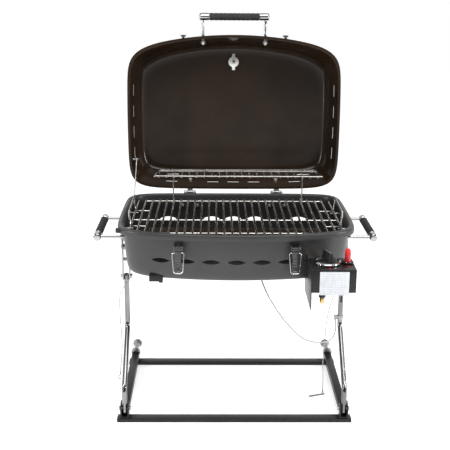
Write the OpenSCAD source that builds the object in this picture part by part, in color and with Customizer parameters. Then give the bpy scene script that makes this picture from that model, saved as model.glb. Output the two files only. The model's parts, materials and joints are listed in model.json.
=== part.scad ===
// Folding camp grill: a gas grill on two bent tube legs that fold down over a steel base frame.
// X is left to right, -Y is the cook's side, +Z is up. Lengths are millimetres.
// The modules are written about the middle of the firebox; in_row() moves them onto the row's origin.

/* [Firebox] */
// Width across the rim of the firebox and of the lid
rim_w = 566; // [540:1:590]
// Height of the firebox rim above the ground
rim_z = 505; // [495:1:520]
// Depth of the pressed bowl below its rim
bowl_depth = 120; // [110:1:122]
// Sheet thickness of the firebox and of the lid
sheet = 1.5; // [1.2:0.1:2]

/* [Lid] */
// Depth of the lid from its rim to its flat top
lid_depth = 100; // [98:1:106]
// Angle by which the open lid leans back from vertical
lid_lean = 2.8; // [0:0.2:6]

/* [Base and legs] */
// Outer diameter of the leg tube
leg_d = 13; // [12:0.5:14]
// Distance of each leg's centre line from the middle plane
leg_x = 273; // [273:0.5:274]
// Height of the square side rails
rail_h = 18; // [16:1:20]
// Width of the side rails
rail_w = 20; // [18:1:20]

/* [Grate] */
// Number of rods that run from front to back
grate_rods = 28; // [24:1:30]
// Diameter of a grate rod
rod_d = 5; // [4:0.5:5]

/* [Controls] */
// Width of the control box
box_w = 98; // [94:1:102]
// Diameter of the knob's chrome skirt
knob_d = 61; // [54:1:64]

/* [Hidden] */
$fn = 32;
row_shift = -24.75;           // puts the origin under the middle of the whole object
hair = 0.3;                 // clearance between pieces that move past each other
corner_swell = 1.05;        // how much thicker the ball at a wire's corner is than the wire

// Plan outline shared by the firebox and the lid
half_w = rim_w / 2;
front_y = 206;
back_y = 203;
front_bow = 39;
back_bow = 3;
side_bow = 0.012;
front_power = 8;
back_power = 9;
plan_steps = 96;
corner_pull = 8;            // degrees by which the outline's points crowd towards the corners

// Firebox
rim_flange = 11;
rim_band = 15;
bowl_z = rim_z - bowl_depth;
vent_pitch = 58.6;
front_vent_z = 435.5;
vent_places = [-3, -1, 0, 1, 3];   // the hinge plates cover the other two of the back row
back_vent_z = 438;
screw_d = 5;
screw_hole_d = 5.2;
bracket_in = leg_x - leg_d / 2 - hair;
bracket_out = leg_x + leg_d / 2 + hair;
bracket_t = 3;
bracket_d = 22;
bracket_top = 447;
bracket_low = 329;
bracket_web = 384;            // top of the U, below the bowl; the outer plate goes on up the wall
bracket_screw_z = [415, 438];
vent_radius = 44.6;
vent_drop = 38.85;

// Lid hinge
hinge_y = back_y + 8;
hinge_z = rim_z + 0.5;
lid_gap = 1;
hinge_x = 117;
knuckle_d = 9;
hinge_pin_d = 5;
plate_screw_x = [-20, 20];
plate_screw_z = 475;
plate_t = 2.5;
lid_swing = 90 + lid_lean;
strap_w = 14;
knuckle_w = 7;

// Lid, its places given with the lid shut
lid_z = rim_z + lid_gap;
lid_top = lid_z + lid_depth;
lid_slot_z = lid_z + 35;
lid_slot_pitch = 56;
lid_slot_h = 5;
lid_bolt_z = lid_z + 44;
lid_handle_z = lid_z + 38;
keeper_z = lid_z + 6;
keeper_y = 205.5;
dial_y = -132;
stay_pin_y = 126;
stay_pin_z = hinge_z + 21;
stay_x = -262;
stay_low = [150, 511.5];

// Base frame
bar_w = 584;
bar_d = 26;
bar_h = 10;
bar_wall = 2;
front_bar_y = -125;
rear_bar_y = 213;
rail_x = 275;
rail_front = -115;
rail_back = 226;
foot_z = 33;
foot_y = -125;
ear_top = 57;
ear_gap = leg_d + 1.2;
ear_half = 10;
ear_t = 3.5;
bolt_d = 6;
spool_d = 12;
spool_disc_d = 26;
spool_disc_t = 4;
spool_len = 65;
spool_z = 29;

// Legs: centre line points as [y, z]
leg_path = [[foot_y, 25], [foot_y, 83], [0, 207], [0, 340]];
leg_top_z = 338;
leg_bend_r = 30;
bend_lap = 0.3;
bend_swell = 0.1;
lock_hole_z = 322;
slot_z = 285;

// Handles
grip_d = 18;
grip_len = 132;
cap_d = 20;
cap_len = 27;
post_d = 8;
post_span = 165;
side_handle_x = 334;
side_handle_y = 8;
side_handle_z = 464;
lid_handle_out = 46;

// Burner
burner_d = 18;
burner_z = 425;
burner_end = -190;
plate_top = 458;
plate_low = 446;

// Latches
latch_x = 134;
lever_pivot_z = 474;
bail_pivot_z = 464;
lever_y = -206;
bail_wire = 2.6;
bail_low = 417;
bail_half = 13.9;            // half the width of the bail at its pivot

// Grate and rack
grate_z = 490;
grate_rows = [[-136, 234], [-21, 253], [168, 234]];   // cross rods: y and half length
grate_inset = 18.5;         // outline that the ends of the rods follow, and their distance from it
grate_gap = 7;
rod_pitch = 18.6;
loop_x = 255;
loop_top = 528;
loop_front = -77;
loop_back = 66;
loop_wire = 4.5;
peg_x = 246;
peg_d = 5;
rack_z = 580;
rack_front = 72;
rack_back = 150;
rack_left = -203;
rack_right = 222;
rack_wire = 4;
rack_bars = 22;
rack_leg_y = 118;

// Controls
box_x = 164;
box_front = -290;
box_back = -203;
box_top = 452;
box_bottom = 399;
box_sheet = 1.5;
knob_x = 203;
knob_y = -243;
button_x = 248;
button_y = -240;
button_d = 14;
inlet_x = 191;
inlet_y = -262;

// Cord routes, each point [x, y, z]
igniter_route = [
    [60, -105, 383], [60, -105, 375], [63, -112, 366], [74, -140, 344], [91, -150, 316], [110, -160, 290],
    [129, -165, 268], [149, -165, 247], [169, -160, 232], [195, -140, 217], [226, -110, 206],
    [246, -70, 200], [257, -34, 201], [261, -12, 208], [261, -1, 216], [261, 0, 221.6]
];
lanyard_left_route = [
    [-273, 0, 322], [-273, -7, 321.8], [-277, -11, 317], [-282, -12, 307], [-289, -13, 291],
    [-291, -12, 274], [-291, -10, 229], [-289, -10, 195], [-288, -10, 146], [-291, -10, 110],
    [-294, -10, 79]
];
lanyard_right_route = [
    [273, 0, 322], [273, -7, 321.8], [269, -11, 316], [262, -13, 303], [253, -12, 290], [244, -10, 257],
    [239, -10, 230], [236, -10, 200], [235, -10, 177], [233, -10, 145], [232, -10, 104],
    [234, -10, 60], [234, -10, 26]
];
cable_d = 3.4;
lanyard_d = 2;
cord_sides = 8;

// ---------------------------------------------------------------- helpers

// Moves the grill's own coordinates onto the row's origin
module in_row() {
    translate([0, row_shift, 0]) children();
}

// Draws its child on both sides of the middle plane
module both_sides() {
    children();
    mirror([1, 0, 0]) children();
}

// Point of the rim's outline in the direction turn, pulled in by inset: the front is bowed, the
// sides are slightly bowed and the back is nearly straight
function plan_point(turn, inset) =
    let (front = sin(turn) < 0,
         power = front ? front_power : back_power,
         reach = pow(pow(abs(cos(turn)), power) + pow(abs(sin(turn)), power), -1 / power),
         x = reach * cos(turn),
         y = reach * sin(turn))
    [(half_w - inset) * x * (1 - side_bow * y * y),
     front ? (front_y - front_bow - inset) * y - front_bow * (1 - x * x)
           : (back_y - inset) * y - back_bow * x * x];

// The whole outline, with its points closer together round the corners
function plan_points(inset) = [for (i = [0:plan_steps - 1])
    let (turn = (i + 0.5) * 360 / plan_steps) plan_point(turn + corner_pull * sin(4 * turn), inset)];

// Thin slice of the plan outline at height z
module slice(inset, z, thick = 0.1) {
    translate([0, 0, z]) linear_extrude(thick) polygon(plan_points(inset));
}

// Closed solid through outlines given as [inset, height] from the lowest to the highest
module loft(steps) {
    n = plan_steps;
    last = len(steps) - 1;
    rings = [for (s = steps) each [for (p = plan_points(s[0])) [p[0], p[1], s[1]]]];
    centres = [[0, 0, steps[0][1]], [0, 0, steps[last][1]]];
    low = len(rings);
    walls = [for (j = [0:last - 1]) for (k = [0:n - 1])
        let (a = j * n + k, b = j * n + (k + 1) % n)
        each [[a, b + n, b], [a, a + n, b + n]]];
    ends = [for (k = [0:n - 1]) let (next = (k + 1) % n)
        each [[low, k, next], [low + 1, last * n + next, last * n + k]]];
    polyhedron(points = concat(rings, centres), faces = concat(walls, ends));
}

// Cylinder of diameter d from point a, length len, along X, Y or Z
module rod_x(a, d, len) { translate(a) rotate([0, 90, 0]) cylinder(d = d, h = len); }
module rod_y(a, d, len) { translate(a) rotate([-90, 0, 0]) cylinder(d = d, h = len); }
module rod_z(a, d, len) { translate(a) cylinder(d = d, h = len); }

// Hexagon head or nut with its axis along Z
module hex(across, h) { cylinder(d = across / cos(30), h = h, $fn = 6); }

// Round bar between two points
module bar_between(p, q, d) {
    v = q - p;
    len = norm(v);
    turn = atan2(v[1], v[0]);
    tilt = acos(v[2] / len);
    translate(p) rotate([0, tilt, turn]) cylinder(d = d, h = len);
}

// Round wire through a list of points; the corners are balls a little thicker than the wire
module wire(points, d, closed = false) {
    n = len(points);
    for (i = [0:n - 2]) bar_between(points[i], points[i + 1], d);
    if (closed) bar_between(points[n - 1], points[0], d);
    for (i = [closed ? 0 : 1:closed ? n - 1 : n - 2]) translate(points[i]) sphere(d = d * corner_swell);
}

// Lens shaped prism along Y, used to punch the vents
module lens(x, z, y_from, y_to) {
    translate([x, y_to, z]) rotate([90, 0, 0]) linear_extrude(y_to - y_from) intersection() {
        translate([0, -vent_drop]) circle(r = vent_radius);
        translate([0, vent_drop]) circle(r = vent_radius);
    }
}

// Corners of one ring of a swept cord, square to the direction dir
function ring(p, dir, r, n) =
    let (d = dir / norm(dir),
         side = cross(d, abs(d[2]) > 0.9 ? [1, 0, 0] : [0, 0, 1]),
         u = side / norm(side),
         v = cross(d, u))
    [for (k = [0:n - 1]) p + r * (cos(k * 360 / n) * u + sin(k * 360 / n) * v)];

// Point of a smooth curve through the route at stretch i and fraction t
function route_at(path, i, t) =
    let (last = len(path) - 1,
         a = path[max(i - 1, 0)],
         b = path[i],
         c = path[min(i + 1, last)],
         d = path[min(i + 2, last)])
    0.5 * (2 * b + (c - a) * t + (2 * a - 5 * b + 4 * c - d) * t * t
        + (3 * b - a - 3 * c + d) * t * t * t);

// Cord of diameter d swept along the route as one closed polyhedron
module cord(path, d) {
    steps = 2;
    last = (len(path) - 1) * steps;
    line = [for (j = [0:last]) j == last ? path[len(path) - 1]
        : route_at(path, floor(j / steps), (j % steps) / steps)];
    n = cord_sides;
    rings = [for (j = [0:last]) each ring(line[j], line[min(j + 1, last)] - line[max(j - 1, 0)], d / 2, n)];
    walls = [for (j = [0:last - 1]) for (k = [0:n - 1])
        [j * n + k, j * n + (k + 1) % n, (j + 1) * n + (k + 1) % n, (j + 1) * n + k]];
    ends = [[for (k = [0:n - 1]) n - 1 - k], [for (k = [0:n - 1]) last * n + k]];
    polyhedron(points = rings, faces = concat([for (f = walls) [f[3], f[2], f[1], f[0]]],
        [for (e = ends) [for (k = [n - 1:-1:0]) e[k]]]));
}

// ---------------------------------------------------------------- base frame

// Flat rectangular steel tube lying across the base
module crossbar(y) {
    translate([-bar_w / 2, y - bar_d / 2, 0]) difference() {
        cube([bar_w, bar_d, bar_h]);
        translate([-1, bar_wall, bar_wall]) cube([bar_w + 2, bar_d - 2 * bar_wall, bar_h - 2 * bar_wall]);
    }
}

module front_crossbar() { color("#2b2a2c") crossbar(front_bar_y); }

module rear_crossbar() { color("#2b2a2c") crossbar(rear_bar_y); }

// Two tubes from front to back, standing on the crossbars
module side_rails() {
    color("#343236") both_sides() translate([rail_x - rail_w / 2, rail_front, bar_h]) difference() {
        cube([rail_w, rail_back - rail_front, rail_h]);
        translate([bar_wall, -1, bar_wall])
            cube([rail_w - 2 * bar_wall, rail_back - rail_front - bar_wall + 1, rail_h - 2 * bar_wall]);
    }
}

// U bracket with two ears that carries the foot of a leg
module ear_brackets() {
    inner = leg_x - ear_gap / 2;
    color("#1f1e20") both_sides() difference() {
        translate([inner - ear_t, foot_y - ear_half, bar_h])
            cube([ear_gap + 2 * ear_t, 2 * ear_half, ear_top - bar_h]);
        translate([inner, foot_y - ear_half - 1, bar_h + 3]) cube([ear_gap, 2 * ear_half + 2, ear_top]);
        translate([inner - ear_t - 1, foot_y - ear_half, ear_top]) rotate([-40, 0, 0])
            cube([ear_gap + 10, 20, 20]);
        translate([inner - ear_t - 1, foot_y + ear_half, ear_top - 5]) rotate([40, 0, 0])
            mirror([0, 1, 0]) cube([ear_gap + 10, 20, 20]);
        rod_x([inner - ear_t - 1, foot_y, foot_z], bolt_d, ear_gap + 2 * ear_t + 2);
    }
}

// Bolt along X through two ears, with a hexagon head outside and a nut inside
module cross_bolt(x_in, x_out, y, z) {
    rod_x([x_in - 1, y, z], bolt_d, x_out - x_in + 2);
    translate([x_out, y, z]) rotate([0, 90, 0]) hex(10, 4);
    translate([x_in, y, z]) rotate([0, -90, 0]) hex(10, 5);
}

module leg_foot_bolts() {
    color("silver") both_sides()
        cross_bolt(leg_x - ear_gap / 2 - ear_t, leg_x + ear_gap / 2 + ear_t, foot_y, foot_z);
}

// Two flanged studs at the back of the rails that hook onto a bracket on the caravan's wall
module hook_spools() {
    color("#b9bbbd") both_sides() {
        rod_y([rail_x, rail_back, spool_z], spool_d, spool_len);
        rod_y([rail_x, rail_back, spool_z], spool_disc_d, spool_disc_t);
        rod_y([rail_x, rail_back + spool_len - spool_disc_t, spool_z], spool_disc_d, spool_disc_t);
    }
}

// ---------------------------------------------------------------- legs

// Direction and turn of the bend at a corner of the leg's centre line
function heading(p, q) = atan2(q[1] - p[1], q[0] - p[0]);

// Tube of diameter d along the leg's centre line in the YZ plane, with true round bends
module leg_sweep(d) {
    p = leg_path;
    last = len(p) - 1;
    turns = [for (i = [0:last]) i == 0 || i == last ? 0 : heading(p[i], p[i + 1]) - heading(p[i - 1], p[i])];
    cut = [for (t = turns) leg_bend_r * tan(abs(t) / 2)];
    for (i = [0:last - 1]) {
        h = heading(p[i], p[i + 1]);
        len = norm(p[i + 1] - p[i]) - cut[i] - cut[i + 1];
        start = p[i] + cut[i] * [cos(h), sin(h)];
        translate([0, start[0], start[1]]) rotate([h - 90, 0, 0])
            translate([0, 0, -bend_lap]) cylinder(d = d, h = len + 2 * bend_lap);
    }
    for (i = [1:last - 1]) {
        h = heading(p[i - 1], p[i]);
        s = sign(turns[i]);
        start = p[i] - cut[i] * [cos(h), sin(h)];
        centre = start + leg_bend_r * s * [-sin(h), cos(h)];
        from = s > 0 ? h - 90 : h + 90 + turns[i];
        translate([0, centre[0], centre[1]]) rotate([90, 0, 90])
            rotate_extrude(start = from, angle = abs(turns[i]), $fn = 48)
                translate([leg_bend_r, 0]) circle(d = d + bend_swell);
    }
}

// One bent tube leg with rounded ends and its two bolt holes
module leg(slotted) {
    difference() {
        union() {
            leg_sweep(leg_d);
            translate([0, leg_path[0][0], leg_path[0][1]]) sphere(d = leg_d);
            translate([0, leg_path[3][0], leg_path[3][1]]) sphere(d = leg_d);
        }
        rod_x([-leg_d, foot_y, foot_z], bolt_d + 0.12, 2 * leg_d);
        rod_x([-leg_d, 0, leg_top_z], bolt_d + 0.12, 2 * leg_d);
        rod_y([0, -leg_d, lock_hole_z], 4, leg_d);
        if (slotted) {
            rod_y([0, -leg_d, slot_z], 4, leg_d - 3);
            rod_y([0, -leg_d, slot_z - 14], 4, leg_d - 3);
            translate([-2, -leg_d, slot_z - 14]) cube([4, leg_d - 3, 14]);
        }
    }
}

module leg_left() { color("#c4c6c8") translate([-leg_x, 0, 0]) leg(false); }

module leg_right() { color("#c4c6c8") translate([leg_x, 0, 0]) leg(true); }

// ---------------------------------------------------------------- firebox

// Wall of the bowl as [inset, height above the bottom], from the bottom up
bowl_steps = [[42, 0], [32, 2.5], [24.5, 8.5], [20, 17], [18, 32], [15, 62], [rim_flange, bowl_depth]];
module bowl_outside() {
    loft([for (b = bowl_steps) [b[0], bowl_z + b[1]]]);
}

module bowl_inside() {
    loft([for (b = bowl_steps)
        [b[0] + sheet, bowl_z + b[1] + (b[1] < 12 ? sheet : b[1] > bowl_depth - 1 ? 1 : 0)]]);
}

// Pressed steel bowl with a turned down rim and lens shaped air vents
module firebox_shell() {
    color("#29292b") difference() {
        union() {
            bowl_outside();
            slice(0, rim_z - sheet, sheet);
            slice(0, rim_z - rim_band, rim_band);
        }
        bowl_inside();
        difference() {
            slice(sheet, rim_z - rim_band - 1, rim_band - sheet + 1);
            slice(rim_flange, rim_z - rim_band - 2, rim_band + 2);
        }
        for (i = [-3:3]) lens(i * vent_pitch, front_vent_z, -front_y, -front_y + 60);
        for (i = vent_places) lens(i * vent_pitch, back_vent_z, back_y - 60, back_y);
        rod_y([knob_x, -front_y, burner_z], burner_d + 2, 60);
        both_sides() {
            for (z = bracket_screw_z) rod_x([half_w - 50, 0, z], screw_hole_d, 45);
            for (x = plate_screw_x) rod_y([hinge_x + x, back_y - 60, plate_screw_z], screw_hole_d, 58);
        }
    }
}

// Zinc plated U brackets under the rim that hold the tops of the legs
module leg_brackets() {
    color("#b5b7b8") both_sides() difference() {
        union() {
            translate([bracket_in - bracket_t, -bracket_d / 2, bracket_low])
                cube([bracket_out - bracket_in + 2 * bracket_t, bracket_d, bracket_web - bracket_low]);
            translate([bracket_out, -bracket_d / 2, bracket_low])
                cube([bracket_t, bracket_d, bracket_top - bracket_low]);
            for (z = bracket_screw_z) rod_x([half_w - 25, 0, z], 14, bracket_out - half_w + 26);
        }
        translate([bracket_in, -bracket_d / 2 - 1, bracket_low - 1])
            cube([bracket_out - bracket_in, bracket_d + 2, bracket_web - bracket_low - 2]);
        rod_x([bracket_in - bracket_t - 1, 0, leg_top_z], bolt_d, 30);
        for (z = bracket_screw_z) rod_x([half_w - 30, 0, z], screw_d, 60);
        bowl_outside();
    }
}

// Screws that hold the brackets to the wall of the bowl
module bracket_bolts() {
    color("#8c8d8f") both_sides() for (z = bracket_screw_z) {
        rod_x([half_w - 24, 0, z], screw_d, bracket_out + bracket_t - half_w + 24);
        rod_x([bracket_out + bracket_t, 0, z], 9, 2.5);
    }
}

module leg_top_bolts() {
    color("silver") both_sides()
        cross_bolt(bracket_in - bracket_t, bracket_out + bracket_t, 0, leg_top_z);
}

// Short pegs on the side walls that the grate's handles rest on
module grate_pegs() {
    color("silver") intersection() {
        both_sides() for (y = [loop_front, loop_back])
            rod_x([peg_x, y, grate_z - loop_wire / 2 - hair - peg_d / 2], peg_d, 40);
        bowl_inside();
    }
}

// Fixed half of each lid hinge: a plate on the back wall with two knuckles above it
module hinge_plates() {
    color("#9b9c9e") both_sides() translate([hinge_x, 0, 0]) difference() {
        union() {
            translate([-28, back_y + 0.5, 455]) cube([56, plate_t, 43]);
            for (x = [-strap_w / 2 - hair - knuckle_w, strap_w / 2 + hair]) {
                rod_x([x, hinge_y, hinge_z], knuckle_d, knuckle_w);
                translate([x, back_y + 0.5, 497]) cube([knuckle_w, plate_t, hinge_z - 497]);
                translate([x, back_y + 0.5, hinge_z - 3]) cube([knuckle_w, 5, 3]);
            }
            for (x = plate_screw_x) rod_y([x, back_y - rim_flange - 5, plate_screw_z], 9, rim_flange + 6);
        }
        rod_x([-30, hinge_y, hinge_z], hinge_pin_d, 60);
        for (x = plate_screw_x) rod_y([x, back_y - 40, plate_screw_z], screw_d, 60);
        translate([-hinge_x, 0, 0]) bowl_outside();
    }
}

// Screws of the hinge plates, with nuts inside the bowl
module hinge_plate_bolts() {
    color("silver") both_sides() for (x = plate_screw_x) translate([hinge_x + x, 0, plate_screw_z]) {
        rod_y([0, back_y - 26, 0], screw_d, 26 + 3);
        rod_y([0, back_y + 3, 0], 9, 2.5);
        intersection() {
            translate([0, back_y - rim_flange - 9, 0]) rotate([-90, 0, 0]) hex(8, 8);
            translate([-hinge_x - x, 0, -plate_screw_z]) bowl_inside();
        }
    }
}

module hinge_pins() {
    color("silver") both_sides() {
        half = strap_w / 2 + hair + knuckle_w;
        rod_x([hinge_x - half, hinge_y, hinge_z], hinge_pin_d, 2 * half);
        rod_x([hinge_x - half - 2, hinge_y, hinge_z], 7.5, 2);
        rod_x([hinge_x + half, hinge_y, hinge_z], 7.5, 2);
    }
}

// Carriers of the draw latches: two cheeks each side of the lever, and the lever's pin
module latch_bases() {
    color("#232325") both_sides() translate([latch_x, 0, 0]) {
        difference() {
            for (x = [-10.5, 8.5]) {
                rod_x([x, lever_y, lever_pivot_z], 11, 2);
                translate([x, lever_y, lever_pivot_z - 5]) cube([2, 36, 10]);
            }
            bowl_shape_at(-latch_x);
        }
        rod_x([-9, lever_y, lever_pivot_z], 4, 18);
    }
}

// Outside of the bowl, moved sideways, to cut what stands on the wall to its shape
module bowl_shape_at(x) {
    translate([x, 0, 0]) bowl_outside();
}

// Chrome end of a handle: a cap on the grip with a post that runs to the wall
module handle_end(post_len) {
    rotate([0, 90, 0]) rotate_extrude() polygon([
        [0, -post_span / 2 + grip_len / 2], [cap_d / 2, -post_span / 2 + grip_len / 2],
        [cap_d / 2, cap_len - 20], [cap_d / 2 - 3, cap_len - 17], [0, cap_len - 17]]);
    rod_y([0, 0, 0], post_d, post_len);
}

// Both ends of a handle whose grip lies along X, with the posts along +Y
module handle_ends(post_len) {
    both_sides() translate([post_span / 2, 0, 0]) handle_end(post_len);
}

module handle_grip() {
    rod_x([-grip_len / 2 + 0.1, 0, 0], grip_d, grip_len - 0.2);
    for (i = [0:10]) rod_x([-grip_len / 2 + 5 + i * 11, 0, 0], grip_d + 1.2, 7);
}

// Places a handle along Y beside the right wall, posts pointing at the wall
module at_right_side() {
    translate([side_handle_x, side_handle_y, side_handle_z]) rotate([0, 0, 90]) children();
}

module side_handle_ends() {
    color("#c9cacc") both_sides() difference() {
        at_right_side() handle_ends(side_handle_x - half_w + rim_flange + 20);
        bowl_outside();
    }
}

module side_handle_grips() { color("#161616") both_sides() at_right_side() handle_grip(); }

// Pipe burner: from the valve through the front wall, then across the bowl
module burner_tube() {
    color("#6f675e") {
        rod_y([knob_x, -212, burner_z], burner_d, 212);
        translate([knob_x, 0, burner_z]) sphere(d = burner_d);
        rod_x([burner_end, 0, burner_z], burner_d, knob_x - burner_end);
        rod_z([burner_end + 6, 0, bowl_z + sheet + 0.1], 6, burner_z - bowl_z - sheet - 4);
    }
}

// Bent sheet over the burner that spreads the heat
module heat_plate() {
    color("#5c4f43") {
        translate([-216, 0, 0]) rotate([90, 0, 90]) linear_extrude(432) polygon([
            [-62, plate_low], [-20, plate_top], [20, plate_top], [62, plate_low],
            [62, plate_low + 1.6], [20, plate_top + 1.6], [-20, plate_top + 1.6], [-62, plate_low + 1.6]]);
        for (x = [-208, 184]) for (y = [-60, 44])
            translate([x, y, bowl_z + sheet + 0.1]) cube([2, 16, plate_low - bowl_z - sheet + 1]);
    }
}

// Ceramic spark electrode beside the burner
module igniter_electrode() {
    color("#e9e4da") rod_z([150, -20, bowl_z + sheet + 0.1], 6, 40);
    color("silver") rod_z([150, -20, bowl_z + sheet + 40], 1.6, 8);
}

// Sheet metal box, open below and towards the wall
module control_box() {
    depth = box_back - box_front;
    height = box_top - box_bottom;
    color("#2f2e30") difference() {
        translate([box_x, box_front, box_bottom]) cube([box_w, depth, height]);
        translate([box_x - 1, box_front + box_sheet, box_bottom - 1])
            cube([box_w + 1 - box_sheet, depth, height + 1 - box_sheet]);
        rod_z([knob_x, knob_y, box_top - 5], 11, 10);
        rod_z([button_x, button_y, box_top - 5], 20.4, 10);
    }
}

// Longer plate on the inner side of the control box, which also holds it to the bowl
module control_side_plate() {
    drop = 40;
    color("#29282a") difference() {
        translate([box_x - 2, box_front, box_bottom - drop])
            cube([2, 130, box_top - box_bottom + drop]);
        bowl_outside();
    }
}

// Blank rating plate stuck on the front of the box
module rating_label() {
    color("#f1f2f2") translate([181, box_front - 0.9, 394]) cube([65, 0.9, 54]);
}

// Valve body inside the box with its spindle through the top
module gas_valve() {
    color("#b08d4c") {
        translate([184, box_front + 8, 406]) cube([36, 52, 30]);
        rod_z([knob_x, knob_y, 430], 8, 34);
        rod_y([knob_x, box_front + 60, burner_z], 12, 18);
    }
}

// Male gas fitting below the box
module gas_inlet() {
    color("#b8923f") difference() {
        union() {
            rod_z([inlet_x, inlet_y, 366], 11, 12);
            rod_z([inlet_x, inlet_y, 366], 8.8, 40);
        }
        rod_z([inlet_x, inlet_y, 365], 5, 20);
    }
}

module inlet_nut() {
    color("#2c2c2e") difference() {
        translate([inlet_x, inlet_y, 379.2]) hex(14, 5);
        rod_z([inlet_x, inlet_y, 377], 8.8, 12);
    }
}

// Black collar that guides the igniter button
module igniter_socket() {
    color("#1d1d1f") difference() {
        union() {
            rod_z([button_x, button_y, box_top], 27, 4.5);
            rod_z([button_x, button_y, 426], 20, box_top - 426 + 1);
        }
        rod_z([button_x, button_y, 428], button_d + 0.6, 40);
    }
}

// Clip under the front of the bowl that holds the front edge of a grease tray
module tray_clip() {
    color("#1b1b1d") difference() {
        translate([-204, -166, 0]) {
            translate([0, 0, bowl_z - 4]) cube([32, 44, 16]);
            translate([23, 0, bowl_z - 7]) cube([9, 30, 5]);
        }
        bowl_outside();
    }
}

// Rubber buffer on the left of the rim
module rim_buffer() {
    color("#131313") difference() {
        rod_x([-half_w + 1, -137, rim_z - 8], 12, 12);
        slice(0, rim_z - 20, 30);
    }
}

// ---------------------------------------------------------------- lid

// Turns pieces modelled with the lid shut to where they are with it open
module opened() {
    translate([0, hinge_y, hinge_z]) rotate([-lid_swing, 0, 0]) translate([0, -hinge_y, -hinge_z]) children();
}

// Place in the YZ plane, with the lid open, of a point given with the lid shut
function opened_at(y, z) = [
    hinge_y + (y - hinge_y) * cos(lid_swing) + (z - hinge_z) * sin(lid_swing),
    hinge_z - (y - hinge_y) * sin(lid_swing) + (z - hinge_z) * cos(lid_swing)];

lid_steps = [[0, 0], [5, 15], [13, 38], [23, lid_depth - 16], [26, lid_depth - 8], [31.5, lid_depth - 2.5],
    [41.5, lid_depth]];
module lid_outside() {
    loft([for (s = lid_steps) [s[0], lid_z + s[1]]]);
}

module lid_inside() {
    loft([for (s = lid_steps)
        [s[0] + sheet + 0.2, lid_z + s[1] - (s[1] > lid_depth / 2 ? sheet : s[1] < 1 ? 1 : 0)]]);
}

// Place of the thermometer on the lid's top
module dial_place() {
    translate([0, dial_y, lid_top]) children();
}

// Slot of length len along X with round ends, punched along Y
module slot_y(a, len, y_len) {
    translate([a[0] - len / 2, a[1], a[2] - lid_slot_h / 2]) cube([len, y_len, lid_slot_h]);
    for (s = [-1, 1]) rod_y([a[0] + s * len / 2, a[1], a[2]], lid_slot_h, y_len);
}

module lid_shell() {
    color("#2b2724") opened() difference() {
        union() {
            difference() {
                lid_outside();
                lid_inside();
            }
            difference() {
                slice(0.3, lid_z, sheet);
                slice(7, lid_z - 1, 2 * sheet);
            }
        }
        for (i = vent_places) slot_y([i * lid_slot_pitch, back_y - 40, lid_slot_z], 28, 60);
        for (i = [-1:2]) translate([0, i * lid_slot_pitch - 3, lid_slot_z]) rotate([0, 0, 90]) {
            slot_y([0, -half_w - 5, 0], 28, 60);
            slot_y([0, half_w - 55, 0], 28, 60);
        }
        dial_place() rod_z([0, 0, -12], 9.4, 24);
        both_sides() {
            rod_y([hinge_x, back_y - 40, lid_bolt_z], screw_hole_d, 60);
            rod_y([post_span / 2, -front_y - 10, lid_handle_z], screw_hole_d, 40);
        }
        rod_x([-half_w - 5, stay_pin_y, stay_pin_z], 5.2, 40);
    }
}

// Moving half of each lid hinge
module lid_hinge_straps() {
    color("#9b9c9e") opened() both_sides() translate([hinge_x, 0, 0]) difference() {
        union() {
            translate([-strap_w / 2, back_y + 0.5, lid_z + 1.5]) cube([strap_w, 2.5, 50]);
            translate([-strap_w / 2, back_y + 0.5, lid_z + 0.5]) cube([strap_w, 8, 2.5]);
            rod_x([-strap_w / 2, hinge_y, hinge_z], knuckle_d, strap_w);
            rod_y([0, back_y - 18, lid_bolt_z], 9, 20);
        }
        rod_x([-strap_w, hinge_y, hinge_z], hinge_pin_d + 0.12, 2 * strap_w);
        rod_y([0, back_y - 40, lid_bolt_z], screw_d, 60);
        translate([-hinge_x, 0, 0]) lid_outside();
    }
}

module lid_hinge_bolts() {
    color("silver") opened() both_sides() translate([hinge_x, back_y, lid_bolt_z]) {
        rod_y([0, -21.4, 0], screw_d, 24.4);
        rod_y([0, 3, 0], 9, 2.5);
        intersection() {
            translate([0, -22, 0]) rotate([-90, 0, 0]) hex(8, 6);
            translate([-hinge_x, -back_y, -lid_bolt_z]) lid_inside();
        }
    }
}

module lid_handle_place() {
    translate([0, -front_y - lid_handle_out, lid_handle_z]) children();
}

module lid_handle_ends() {
    color("#c9cacc") opened() difference() {
        lid_handle_place() handle_ends(lid_handle_out + 30);
        lid_outside();
    }
}

module lid_handle_grip() { color("#161616") opened() lid_handle_place() handle_grip(); }

// Nuts and stud ends of the handle's posts inside the lid
module lid_handle_nuts() {
    color("silver") opened() both_sides() translate([post_span / 2, -front_y, lid_handle_z]) {
        intersection() {
            translate([0, 17.2, 0]) rotate([-90, 0, 0]) hex(11, 7);
            translate([-post_span / 2, front_y, -lid_handle_z]) lid_inside();
        }
        rod_y([0, 17.8, 0], screw_d, 9);
    }
}

// Headed studs on the front lip of the lid that the latch bails hook over
module latch_keepers() {
    color("#18181a") opened() both_sides() difference() {
        union() {
            rod_y([latch_x, -keeper_y, keeper_z], 7, 20);
            rod_y([latch_x, -keeper_y, keeper_z], 14, 5);
        }
        lid_outside();
    }
}

// Dial thermometer on the top of the lid, its probe through a hole
module thermometer() {
    color("#c9cacc") opened() dial_place() {
        rod_z([0, 0, 0.1], 52, 10);
        rod_z([0, 0, -18], 9, 20);
    }
}

module thermometer_nut() {
    color("#b9babc") opened() dial_place() difference() {
        union() {
            rod_z([0, 0, -4.6], 28, 3);
            translate([-4, -22, -6.6]) cube([8, 44, 2.5]);
            translate([0, 0, -9]) hex(12, 5);
        }
        rod_z([0, 0, -30], 9.1, 40);
    }
}

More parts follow.
